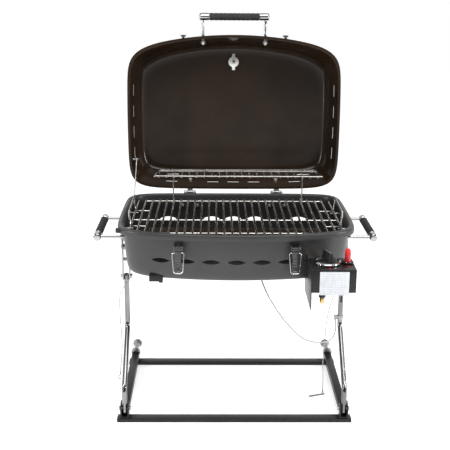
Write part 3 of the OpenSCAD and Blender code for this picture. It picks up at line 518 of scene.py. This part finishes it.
def label_material():
    """White film with faint ruled lines; it carries no words."""
    mat, tree, shader, coords = node_tree("label_film")
    split = tree.nodes.new("ShaderNodeSeparateXYZ")
    tree.links.new(coords.outputs["Object"], split.inputs[0])

    def maths(operation, a, b=None):
        node = tree.nodes.new("ShaderNodeMath")
        node.operation = operation
        for socket, value in zip(node.inputs, (a, b)):
            if value is None:
                continue
            if isinstance(value, (int, float)):
                socket.default_value = value
            else:
                tree.links.new(value, socket)
        return node.outputs["Value"]

    rule_pitch, label_mid, label_half = 5.1 * MM, 213.5 * MM, 26 * MM
    line = maths("GREATER_THAN", maths("FRACT", maths("DIVIDE", split.outputs["Z"], rule_pitch)), 0.68)
    inside = maths("LESS_THAN", maths("ABSOLUTE", maths("SUBTRACT", split.outputs["X"], label_mid)),
                   label_half)
    uneven = texture(tree, coords, "ShaderNodeTexNoise", 420.0, 2.0, (1.0, 1.0, 0.15))
    ink = maths("MULTIPLY", maths("MULTIPLY", line, inside),
                ranged(tree, uneven.outputs["Fac"], 0.42, 0.56, 0.15, 0.75))
    grime = texture(tree, coords, "ShaderNodeTexNoise", 60.0, 4.0)
    paper = mixed(tree, ranged(tree, grime.outputs["Fac"], 0.4, 0.7, 0.0, 1.0), (0.66, 0.68, 0.71),
                  (0.60, 0.62, 0.65))
    tree.links.new(mixed(tree, ink, paper, (0.45, 0.46, 0.48)), shader.inputs["Base Color"])
    tree.links.new(ranged(tree, grime.outputs["Fac"], 0.3, 0.7, 0.35, 0.5), shader.inputs["Roughness"])
    return mat


M["label"] = label_material()

# ------------------------------------------------------------------ cords
CABLE_D, LANYARD_D = 3.4, 2.0
IGNITER_ROUTE = [
    (60, -105, 383), (60, -105, 375), (63, -112, 366), (74, -140, 344), (91, -150, 316), (110, -160, 290),
    (129, -165, 268), (149, -165, 247), (169, -160, 232), (195, -140, 217), (226, -110, 206),
    (246, -70, 200), (257, -34, 201), (261, -12, 208), (261, -1, 216), (261, 0, 221.6),
]
LANYARD_LEFT_ROUTE = [
    (-273, 0, 322), (-273, -7, 321.8), (-277, -11, 317), (-282, -12, 307), (-289, -13, 291), (-291, -12, 274),
    (-291, -10, 229), (-289, -10, 195), (-288, -10, 146), (-291, -10, 110), (-294, -10, 79),
]
LANYARD_RIGHT_ROUTE = [
    (273, 0, 322), (273, -7, 321.8), (269, -11, 316), (262, -13, 303), (253, -12, 290), (244, -10, 257),
    (239, -10, 230), (236, -10, 200), (235, -10, 177), (233, -10, 145), (232, -10, 104), (234, -10, 60),
    (234, -10, 26),
]


def cord_piece(name, node, route, diameter, material):
    path = [at(*p) for p in smooth_path(route, 4)]
    mesh = mesh_of(*swept(path, diameter / 2 * MM, 12, rounded=False), name=name)
    obj = piece(name, mesh, material, None, (node,), 60)
    return obj, path


cable, cable_path = cord_piece("igniter_cable_jacket", "igniter_cable", IGNITER_ROUTE, CABLE_D, M["cable"])
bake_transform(cable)

hook_end, pin_end = Vector(LANYARD_LEFT_ROUTE[-1]), Vector(LANYARD_RIGHT_ROUTE[-1])
left_lanyard, left_path = cord_piece("lanyard_left_cord", "lanyard_left", LANYARD_LEFT_ROUTE, LANYARD_D,
                                     M["lanyard"])
right_lanyard, right_path = cord_piece("lanyard_right_cord", "lanyard_right", LANYARD_RIGHT_ROUTE, LANYARD_D,
                                       M["lanyard"])
hook_line = [hook_end + Vector(v) for v in ((0, 0, -8), (-0.4, 0, -10), (-4.6, 0, -12.5), (-5, 0, -18.5),
                                            (-2.5, 0, -20.6),
                                            (0, 0, -20.8))]
hook_parts = joined([
    moved(revolved([(0, 0), (1.6, 0), (1.95, -0.5), (1.95, -8.3), (1.4, -9), (0, -9)][::-1], 20),
          Matrix.Translation(at(*hook_end)) @ Matrix.Scale(MM, 4)),
    swept([at(*p) for p in smooth_path(hook_line, 4)], 1.0 * MM, 12)])
hook = piece("lanyard_wire_hook", mesh_of(*hook_parts), M["zinc"], NODES["lanyard_hook"]["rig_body"],
             ("lanyard_hook",))
pin_start, pin_tip = pin_end + Vector((4, 0, -11)), pin_end + Vector((-34, 0, -18))
pin_parts = joined([
    moved(revolved([(0, 0), (1.6, 0), (1.95, -0.5), (1.95, -9), (1.4, -10), (0, -10)][::-1], 20),
          Matrix.Translation(at(*pin_end)) @ Matrix.Scale(MM, 4)),
    swept([at(*pin_start), at(*pin_tip)], 2.4 * MM, 20)])
pin = piece("lock_pin_body", mesh_of(*pin_parts), M["zinc"], NODES["lock_pin"]["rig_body"], ("lock_pin",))
for lanyard, path, length, end_piece, far in (
        (left_lanyard, left_path, 0.256, hook, "fitting"),
                                              (right_lanyard, right_path, 0.312, pin, "fitting")):
    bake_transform(lanyard)


# ------------------------------------------------------------------ pressed shells
def plan_point(turn, inset):
    c, s = math.cos(turn), math.sin(turn)
    front = s < 0
    power = FRONT_POWER if front else BACK_POWER
    reach = (abs(c) ** power + abs(s) ** power) ** (-1 / power)
    x, y = reach * c, reach * s
    px = (HALF_W - inset) * x * (1 - SIDE_BOW * y * y)
    if front:
        return px, (FRONT_Y - FRONT_BOW - inset) * y - FRONT_BOW * (1 - x * x)
    return px, (BACK_Y - inset) * y - BACK_BOW * x * x


def plan_ring(inset, z, scale=1.0):
    pull = math.radians(8)
    turns = ((i + 0.5) * 2 * math.pi / PLAN_POINTS for i in range(PLAN_POINTS))
    return [at(px * scale, py * scale, z) for px,
            py in (plan_point(t + pull * math.sin(4 * t), inset) for t in turns)]


def shell_part(profile, floor_scales=(0.2, 0.45, 0.7, 0.88)):
    """Closed pressing: from the middle of its outside over its edge to the middle of its inside."""
    first, last = profile[0], profile[-1]
    rings = [plan_ring(first[0], first[1], s) for s in floor_scales]
    rings += [plan_ring(i, z) for i, z in profile]
    rings += [plan_ring(last[0], last[1], s) for s in reversed(floor_scales)]
    verts = [v for ring in rings for v in ring]
    n, faces = PLAN_POINTS, []
    for j in range(len(rings) - 1):
        for k in range(n):
            a, b = j * n + k, j * n + (k + 1) % n
            faces.append([a, b, b + n, a + n])
    low, high = len(verts), len(verts) + 1
    verts += [at(0, 0, first[1]), at(0, 0, last[1])]
    top = (len(rings) - 1) * n
    faces += [[low, (k + 1) % n, k] for k in range(n)]
    faces += [[high, top + k, top + (k + 1) % n] for k in range(n)]
    return verts, faces


def outward(part):
    mesh = mesh_of(*part)
    bm = bmesh.new()
    bm.from_mesh(mesh)
    bmesh.ops.recalc_face_normals(bm, faces=bm.faces)
    bm.to_mesh(mesh)
    bm.free()
    return mesh


firebox_profile = [
    (42, 385), (36, 385.7), (31, 387.3), (27, 389.8), (23.8, 393.2), (21.6, 397.6), (20, 403), (18.9, 409.5),
    (18.1, 417), (16.7, 431), (15, 447), (13.8, 465), (12.5, 484), (11.8, 496), (11.2, 501), (10.2, 503),
    (8.5, 503.5), (4.5, 503.5), (2.5, 502.8), (1.6, 501), (1.6, 492.6), (1.3, 490.8), (0.8, 490.1),
                   (0.25, 490.6),
    (0, 492.2), (0, 500.4), (0.4, 502.6), (1.5, 504.2), (3.4, 505), (9, 505), (11.2, 504.5), (12.6, 503),
    (13.2, 500), (13.5, 495), (14.2, 484), (15.4, 465), (16.6, 447), (18.3, 431), (19.7, 417.3), (20.5, 410),
    (21.6, 403.9), (23.1, 398.8), (25.2, 394.8), (28, 391.4), (32, 388.9), (36.8, 387.3), (42, 386.6)]
VENT_PITCH, FRONT_VENT_Z, BACK_VENT_Z = 58.6, 435.5, 438
BACK_PLACES = (-3, -1, 0, 1, 3)  # the hinge plates cover the other two
firebox_cuts = [prism(lens(i * VENT_PITCH, FRONT_VENT_Z), -215, -140, "Y") for i in range(-3, 4)]
firebox_cuts += [prism(lens(i * VENT_PITCH, BACK_VENT_Z), 140, 215, "Y") for i in BACK_PLACES]
firebox_cuts.append(prism(circle(10, 32, (203, 425)), -206, -140, "Y"))
firebox_mesh = cut(outward(shell_part(firebox_profile)), firebox_cuts)
piece("firebox_pressing", firebox_mesh, M["shell"], "firebox", ("firebox_shell",), 38)

lid_profile = [
    (56, 606), (47, 605.9), (40.5, 605.2), (35.5, 603.6), (31.5, 601.2), (28.5, 598.2), (26.4, 594.4),
               (24.9, 590.4),
    (23.5, 585.4), (22, 578.8), (19.5, 568.6), (16.2, 554.8), (13.3, 543), (9.6, 533), (6.7, 524.5),
               (5.2, 520),
    (3.6, 515.4), (1.7, 511), (0.5, 508.9), (0, 507.4), (0.5, 506.3), (1.6, 506), (5.6, 506), (7.0, 506.4),
    (7.4, 507.4), (6.6, 508.2), (4.4, 508.9), (3.8, 510.2), (4.7, 513), (7.0, 519.6), (8.5, 524),
               (11.3, 532.4),
    (15, 542.4), (17.9, 554.2), (21.2, 568), (23.7, 578.2), (25.2, 584.8), (26.5, 589.6), (27.9, 593.2),
    (29.8, 596.8), (32.5, 599.8), (36.3, 602.2), (41, 603.8), (47, 604.4), (56, 604.5)]
SLOT_PITCH, SLOT_Z, SLOT_LENGTH, SLOT_HEIGHT = 56, 541, 28, 5
lid_cuts = [prism(slot_outline(i * SLOT_PITCH, SLOT_Z, SLOT_LENGTH, SLOT_HEIGHT), 150, 215, "Y")
            for i in BACK_PLACES]
for i in range(-1, 3):
    side_slot = slot_outline(i * SLOT_PITCH - 3, SLOT_Z, SLOT_LENGTH, SLOT_HEIGHT)
    lid_cuts += [prism(side_slot, -295, -230, "X"), prism(side_slot, 230, 295, "X")]
lid_mesh = cut(outward(shell_part(lid_profile)), lid_cuts)
for vertex in lid_mesh.vertices:
    vertex.co = opened(vertex.co.x / MM, vertex.co.y / MM - ROW_Y, vertex.co.z / MM)
lid_mesh.update()
piece("lid_pressing", lid_mesh, M["lid"], "lid", ("lid_shell",), 38)


# ------------------------------------------------------------------ legs
def leg_line():
    corners = [(-125, 25), (-125, 83), (0, 207), (0, 340)]
    out = [corners[0]]
    for before, corner, after in zip(corners, corners[1:], corners[2:]):
        p, q, r = Vector(before), Vector(corner), Vector(after)
        u, v = (p - q).normalized(), (r - q).normalized()
        half = math.acos(max(-1, min(1, u.dot(v)))) / 2
        cut_back, centre_gap = 30 / math.tan(half), 30 / math.sin(half)
        centre = q + (u + v).normalized() * centre_gap
        a, b = q + u * cut_back - centre, q + v * cut_back - centre
        angle = a.angle(b)
        for k in range(13):
            t = k / 12
            d = (math.sin((1 - t) * angle) * a + math.sin(t * angle) * b) / math.sin(angle)
            out.append(tuple(centre + d))
    return out + [corners[-1]]


LEG_X, LEG_R = 273, 6.5
LOCK_HOLE_Z, SLOT_ENDS_Z = 322, (271, 285)
SHADE_PAINT_LOW, SHADE_PAINT_HIGH = 268 * MM, 326 * MM  # the height band in which the walls of the hole and the slot get near-black rubber as painted shade of the tube's hollow inside
for side, x in (("left", -LEG_X), ("right", LEG_X)):
    tube = mesh_of(*swept([at(x, y, z) for y, z in leg_line()], LEG_R * MM, 40))
    cutters = [prism(circle(2.0, 20, (x, LOCK_HOLE_Z)), -2 * LEG_R, 0, "Y")]
    if side == "right":
        turns = [math.pi * k / 10 for k in range(11)]
        cutters.append(prism([(x + 2 * math.cos(t), SLOT_ENDS_Z[1] + 2 * math.sin(t)) for t in turns]
                             + [(x - 2 * math.cos(t), SLOT_ENDS_Z[0] - 2 * math.sin(t)) for t in turns],
                             -13, -3, "Y"))
    bm = bmesh.new()
    bm.from_mesh(tube)
    bmesh.ops.recalc_face_normals(bm, faces=bm.faces)
    bm.to_mesh(tube)
    bm.free()
    tube = cut(tube, cutters)
    piece("leg_tube_" + side, tube, M["leg"], "legs", ("leg_" + side,), 40)
    # Painted shade: near-black rubber on the walls of the lock hole and slot stands for the dark hollow
    # inside the tube.
    tube.materials.append(M["rubber"])
    for face in tube.polygons:
        middle = face.center - at(x, 0, 0)
        if SHADE_PAINT_LOW < middle.z < SHADE_PAINT_HIGH and math.hypot(middle.x, middle.y) < 6.2 * MM:
            face.material_index = 1


# ------------------------------------------------------------------ handles
POST_OFFSET = 82.5
SIDE_HANDLE = (334, 8, 464)
SIDE_POST, LID_POST = 65, 62.6


def cap_part():
    """Chrome end of a grip along +X, its post hole at the origin."""
    return revolved([(0, -16.4), (9.2, -16.4), (9.9, -15.8), (9.9, -14.6), (9.35, -14.2), (9.35, -12.8),
                     (9.9, -12.4),
                     (9.9, 4.2), (9.8, 5.8), (9.3, 7.4), (8.4, 8.7), (7.0, 9.5), (5.0, 9.8), (0, 9.9)], 48)


def grip_part():
    """Foam grip along Z, ribbed along its length."""
    half, profile = 65.8, [(0, -65.8), (8.0, -65.8), (8.9, -65.0)]
    ribs = 11
    for i in range(ribs):
        middle = -60 + i * 12.0
        profile += [(8.8, middle - 5.6), (9.35, middle - 4.6), (9.55, middle - 2.5), (9.55, middle + 2.5),
                    (9.35, middle + 4.6), (8.8, middle + 5.6)]
    return revolved(profile + [(8.9, half - 0.8), (8.0, half), (0, half)], 48)


def post_part(length):
    """Chrome post along +Y from the grip's axis, with a collar where it meets the wall."""
    line = revolved([(0, 2), (4.0, 2), (4.0, length - 5), (6.6, length - 4.6), (7.2, length - 3.8),
                     (7.2, length - 1),
                     (4.0, length - 0.6), (4.0, length), (0, length)], 32)
    return moved(line, Matrix.Rotation(math.radians(-90), 4, "X"))


def handle(prefix, place, post_length, body, ends_node, grip_node, finish=lambda part: part):
    """A grip along X with two posts along +Y, put in place by a matrix in metres."""
    scale = Matrix.Scale(MM, 4)
    ends = []
    for sign in (-1, 1):
        flip = Matrix.Rotation(0 if sign > 0 else math.pi, 4, "Z")
        here = Matrix.Translation(Vector((sign * POST_OFFSET, 0, 0)))
        cap = moved(cap_part(), here @ flip @ Matrix.Rotation(math.radians(90), 4, "Y"))
        ends += [cap, moved(post_part(post_length), here)]
    ends = finish(moved(joined(ends), place @ scale))
    grip = finish(moved(moved(grip_part(), Matrix.Rotation(math.radians(90), 4, "Y")), place @ scale))
    piece(prefix + "_ends", mesh_of(*ends), M["chrome"], body, (ends_node,))
    piece(prefix + "_foam", mesh_of(*grip), M["foam"], body, (grip_node,), 50)


for side, turn in (("right", 90), ("left", -90)):
    sign = 1 if side == "right" else -1
    grip_x, grip_y, grip_z = SIDE_HANDLE
    place = Matrix.Translation(at(sign * grip_x, grip_y, grip_z)) @ Matrix.Rotation(math.radians(turn), 4,
                                                                                    "Z")
    handle("side_handle_" + side, place, SIDE_POST, "firebox", "side_handle_ends", "side_handle_grips")
handle("lid_handle", Matrix.Translation(at(0, -252, 544)), LID_POST, "lid", "lid_handle_ends",
       "lid_handle_grip", open_lid)


# ------------------------------------------------------------------ draw latches
LATCH_X = 134
BAIL_TOP_Z, BAIL_LOW_Z = 464, 417
BAIL_HALF, BAIL_LOW_HALF = 13.9, 9.8


def latch(side, x):
    y, low = -204.5, -212.5
    corners = [(x - BAIL_HALF, y, BAIL_TOP_Z), (x - BAIL_LOW_HALF, low, BAIL_LOW_Z),
               (x + BAIL_LOW_HALF, low, BAIL_LOW_Z), (x + BAIL_HALF, y, BAIL_TOP_Z)]
    line = [at(*p) for p in rounded_path(corners, 5.5, 6)]
    piece("latch_wire_" + side, mesh_of(*swept(line, 1.3 * MM, 14, closed=True)), M["bail"],
          "bail_" + side, ("latch_bail_" + side,), 60)
    outline = [(-209.4, 475.5), (-208.2, 477.4), (-206, 478), (-203.2, 477), (-202.7, 474), (-202.7, 424),
               (-204.4, 419.6), (-208.4, 418.2), (-209.6, 419.2), (-208.6, 420.6), (-206.2, 422),
               (-205.3, 425.5), (-205.3, 459.5), (-206.6, 461.5), (-208, 463.5), (-208, 467.6),
               (-206.8, 469.4),
               (-208.6, 470.6), (-209.8, 473)]
    plate = outward(prism(outline, x - 7.4, x + 7.4, "X"))
    for v in plate.vertices:
        drop = max(0.0, min(1.0, (462 * MM - v.co.z) / (44 * MM)))
        v.co.x = x * MM + (v.co.x - x * MM) * (1 - 0.24 * drop)
    plate_obj = piece("latch_lever_plate_" + side, plate, M["black"], "lever_" + side,
                      ("latch_lever_" + side,))
    round_edges(plate_obj, 0.5)
    ridges = joined([prism([(-206.0, z), (-205.2, z), (-205.2, z + 2.2), (-206.0, z + 1.8)], x - 4.5,
                           x + 4.5, "X")
                     for z in (431, 437, 443)])
    piece("latch_lever_ridges_" + side, outward(ridges), M["black"], "lever_" + side)


latch("left", -LATCH_X)
latch("right", LATCH_X)

# ------------------------------------------------------------------ knob, button and box
KNOB = (203, -243)
KNOB_ANGLE = 20
BUTTON = (248, -240)
BOX_TOP = 452
skirt_profile = [(0, 452.7), (26.5, 452.7), (29.7, 453.2), (30.4, 454.4), (30.4, 456.4), (29.7, 457.6),
                 (27.1, 458.9),
           (26.1, 459.5), (25.7, 459.0), (25.1, 457.9), (13, 457.6), (0, 457.6)]
skirt_part = revolved(skirt_profile, 96)
fluted = []
for v in skirt_part[0]:
    r = math.hypot(v.x, v.y)
    if r > 27.5:
        turn = math.atan2(v.y, v.x)
        r2 = r - 0.5 * (0.5 + 0.5 * math.cos(24 * turn))
        v = Vector((v.x * r2 / r, v.y * r2 / r, v.z))
    fluted.append(at(KNOB[0] + v.x, KNOB[1] + v.y, v.z))
piece("knob_chrome_ring", mesh_of(fluted, skirt_part[1]), M["chrome"], "knob", ("knob_skirt",))


def ridge_part(length, base, top, low, high, steps=7):
    """Finger ridge: a rounded bar along Y that narrows upwards."""
    verts, faces, count = [], [], 32
    for j in range(steps + 1):
        t = j / steps
        half = base + (top - base) * t
        z = low + (high - low) * t
        shrink = 1.0
        if t > 0.72:
            s = (t - 0.72) / 0.28
            shrink = math.sqrt(max(0.0, 1 - 0.72 * s * s))
        for k in range(count):
            a = 2 * math.pi * k / count
            y_off = length / 2 * (1 if math.sin(a) >= 0 else -1)
            verts.append(Vector((half * shrink * math.cos(a),
                                 (y_off + half * math.sin(a)) * (0.94 + 0.06 * shrink), z)))
    for j in range(steps):
        for k in range(count):
            a, b = j * count + k, j * count + (k + 1) % count
            faces.append([a, b, b + count, a + count])
    faces.append(list(reversed(range(count))))
    faces.append([steps * count + k for k in range(count)])
    return verts, faces


knob_place = Matrix.Translation(at(KNOB[0], KNOB[1], 0)) @ Matrix.Scale(MM, 4)
knob_turn = knob_place @ Matrix.Rotation(math.radians(KNOB_ANGLE), 4, "Z")
grip = outward(moved(ridge_part(31, 7.4, 4.5, 457.7, 480.6), knob_turn))
piece("knob_ridge", grip, M["plastic"], "knob", ("knob_grip",), 45)
hub = moved(revolved([(0, 457.65), (20.5, 457.65), (20.9, 458.2), (19.8, 459.2), (12, 460.4), (0, 460.6)],
                     64), knob_turn)
piece("knob_hub", mesh_of(*hub), M["plastic"], "knob")
inlay = outward(moved(ridge_part(28, 1.9, 1.6, 479.9, 480.7, 3), knob_turn))
piece("knob_inlay_strip", inlay, M["inlay"], "knob", angle=60)
mark = revolved([(0, BOX_TOP), (2.5, BOX_TOP), (2.5, BOX_TOP + 0.35), (2.0, BOX_TOP + 0.6),
                 (0, BOX_TOP + 0.6)], 24)
piece("knob_mark_dot", mesh_of([at(204 + v.x, -279 + v.y, v.z) for v in mark[0]], mark[1]), M["red"],
      "firebox")
piece("button_mark_bar", outward(prism([(243, -262.6), (252, -262.6), (252, -261.0), (243, -261.0)], BOX_TOP,
                                       BOX_TOP + 0.25, "Z")), M["red"], "firebox")

button_profile = [(0, 438), (6.6, 438), (6.9, 438.6), (6.9, 479.6), (6.6, 480.6), (5.8, 481.4),
                  (5.8, 484.2), (5.4, 485.3),
                  (4.2, 485.8), (0, 485.9)]
button = revolved(button_profile, 40)
piece("igniter_button_cap", mesh_of([at(BUTTON[0] + v.x, BUTTON[1] + v.y, v.z) for v in button[0]],
                                    button[1]),
      M["red"], "button", ("igniter_button",))
for offset in (-4.5, 4.5):
    screw = revolved([(0, 456.2), (1.7, 456.2), (1.7, 456.9), (1.2, 457.4), (0, 457.5)], 20)
    piece("collar_screw_" + ("a" if offset < 0 else "b"),
          mesh_of([at(BUTTON[0] + offset + v.x, BUTTON[1] - 10.2 + v.y, v.z) for v in screw[0]], screw[1]),
          M["zinc"], "firebox")

# ------------------------------------------------------------------ CAD nodes with rounded edges and finishes
finishes = {
    "front_crossbar": ("frame", 0.9), "rear_crossbar": ("frame", 0.9), "side_rails": ("rail", 1.2),
    "ear_brackets": ("frame", 0.5), "leg_foot_bolts": ("zinc", 0.4), "hook_spools": ("zinc", 0.8),
    "leg_brackets": ("zinc", 0.5), "bracket_bolts": ("zinc", 0.4), "leg_top_bolts": ("zinc", 0.4),
    "grate_pegs": ("zinc", 0.3), "hinge_plates": ("zinc", 0.4), "hinge_plate_bolts": ("bright", 0.35),
    "hinge_pins": ("zinc", 0.3), "latch_bases": ("black", 0.3), "burner_tube": ("burner", 0.4),
    "heat_plate": ("burner", 0.3), "igniter_electrode": ("ceramic", 0.3), "control_box": ("frame", 0.7),
    "control_side_plate": ("frame", 0.3), "rating_label": ("label", 0.15), "gas_valve": ("brass", 0.6),
    "gas_inlet": ("brass", 0.5), "inlet_nut": ("steel", 0.4), "igniter_socket": ("plastic", 0.8),
    "tray_clip": ("frame", 0.4), "rim_buffer": ("rubber", 1.0), "lid_hinge_straps": ("zinc", 0.4),
    "lid_hinge_bolts": ("bright", 0.35), "lid_handle_nuts": ("bright", 0.4), "latch_keepers": ("black", 0.5),
    "thermometer": ("chrome", 1.2), "thermometer_nut": ("bright", 0.4), "stay_bolt": ("zinc", 0.3),
    "lid_stay": ("zinc", 0.3), "cooking_grate": ("grate", 0), "grate_handles": ("grate", 0),
    "warming_rack": ("grate", 0), "rack_legs": ("grate", 0), "cable_gland": ("plastic", 0.4),
    "cable_clip": ("cable", 0.4),
}
for node, (finish, width) in finishes.items():
    softened(node, M[finish], width)

# ------------------------------------------------------------------ studio
floor_mesh = mesh_of([(-60, -60, 0), (60, -60, 0), (60, 60, 0), (-60, 60, 0)], [[0, 1, 2, 3]], "floor")
floor = bpy.data.objects.new("studio_floor", floor_mesh)
bpy.context.scene.collection.objects.link(floor)
floor_mat, floor_tree, floor_shader, floor_coords = node_tree("pale_floor")
floor_noise = texture(floor_tree, floor_coords, "ShaderNodeTexNoise", 3.0, 3.0)
floor_tree.links.new(mixed(floor_tree, floor_noise.outputs["Fac"], (0.90, 0.90, 0.90), (0.93, 0.93, 0.93)),
                     floor_shader.inputs["Base Color"])
floor_shader.inputs["Roughness"].default_value = 0.9
floor_shader.inputs["Emission Color"].default_value = (1.0, 1.0, 1.0, 1.0)
floor_shader.inputs["Emission Strength"].default_value = 0.5
floor_mesh.materials.append(floor_mat)

world = bpy.data.worlds.new("studio")
bpy.context.scene.world = world
world.use_nodes = True
tree = world.node_tree
background = tree.nodes["Background"]
direction = tree.nodes.new("ShaderNodeTexCoord")
split = tree.nodes.new("ShaderNodeSeparateXYZ")
tree.links.new(direction.outputs["Generated"], split.inputs[0])
behind = ranged(tree, split.outputs["Y"], -0.3, 0.6, 0.10, 0.85)
overhead = ranged(tree, split.outputs["Z"], 0.35, 0.9, 0.0, 0.6)
level = tree.nodes.new("ShaderNodeMath")
level.operation = "MAXIMUM"
tree.links.new(behind, level.inputs[0])
tree.links.new(overhead, level.inputs[1])
light_path = tree.nodes.new("ShaderNodeLightPath")
seen = tree.nodes.new("ShaderNodeMath")
seen.operation = "MAXIMUM"
tree.links.new(light_path.outputs["Is Camera Ray"], seen.inputs[0])
tree.links.new(level.outputs["Value"], seen.inputs[1])
tree.links.new(mixed(tree, seen.outputs["Value"], (0.0, 0.0, 0.0), (1.0, 1.0, 1.0)),
               background.inputs["Color"])
background.inputs["Strength"].default_value = 1.0


def area_light(name, location, target, size, power):
    light = bpy.data.lights.new(name, "AREA")
    light.shape = "RECTANGLE"
    light.size, light.size_y = size
    light.energy = power
    obj = bpy.data.objects.new(name, light)
    bpy.context.scene.collection.objects.link(obj)
    obj.location = location
    obj.rotation_euler = (Vector(target) - Vector(location)).to_track_quat("-Z", "Y").to_euler()
    obj.visible_camera = False


area_light("overhead_softbox", (0.2, -1.0, 2.7), (0, 0, 0.4), (2.2, 1.2), 46)
area_light("right_strip", (2.2, -0.9, 1.3), (0, 0, 0.6), (0.16, 1.3), 34)
area_light("left_strip", (-2.2, -1.0, 1.2), (0, 0, 0.5), (0.16, 1.3), 27)

scene = bpy.context.scene
scene.view_settings.view_transform = "Standard"
scene.view_settings.look = "None"

bpy.context.view_layer.update()
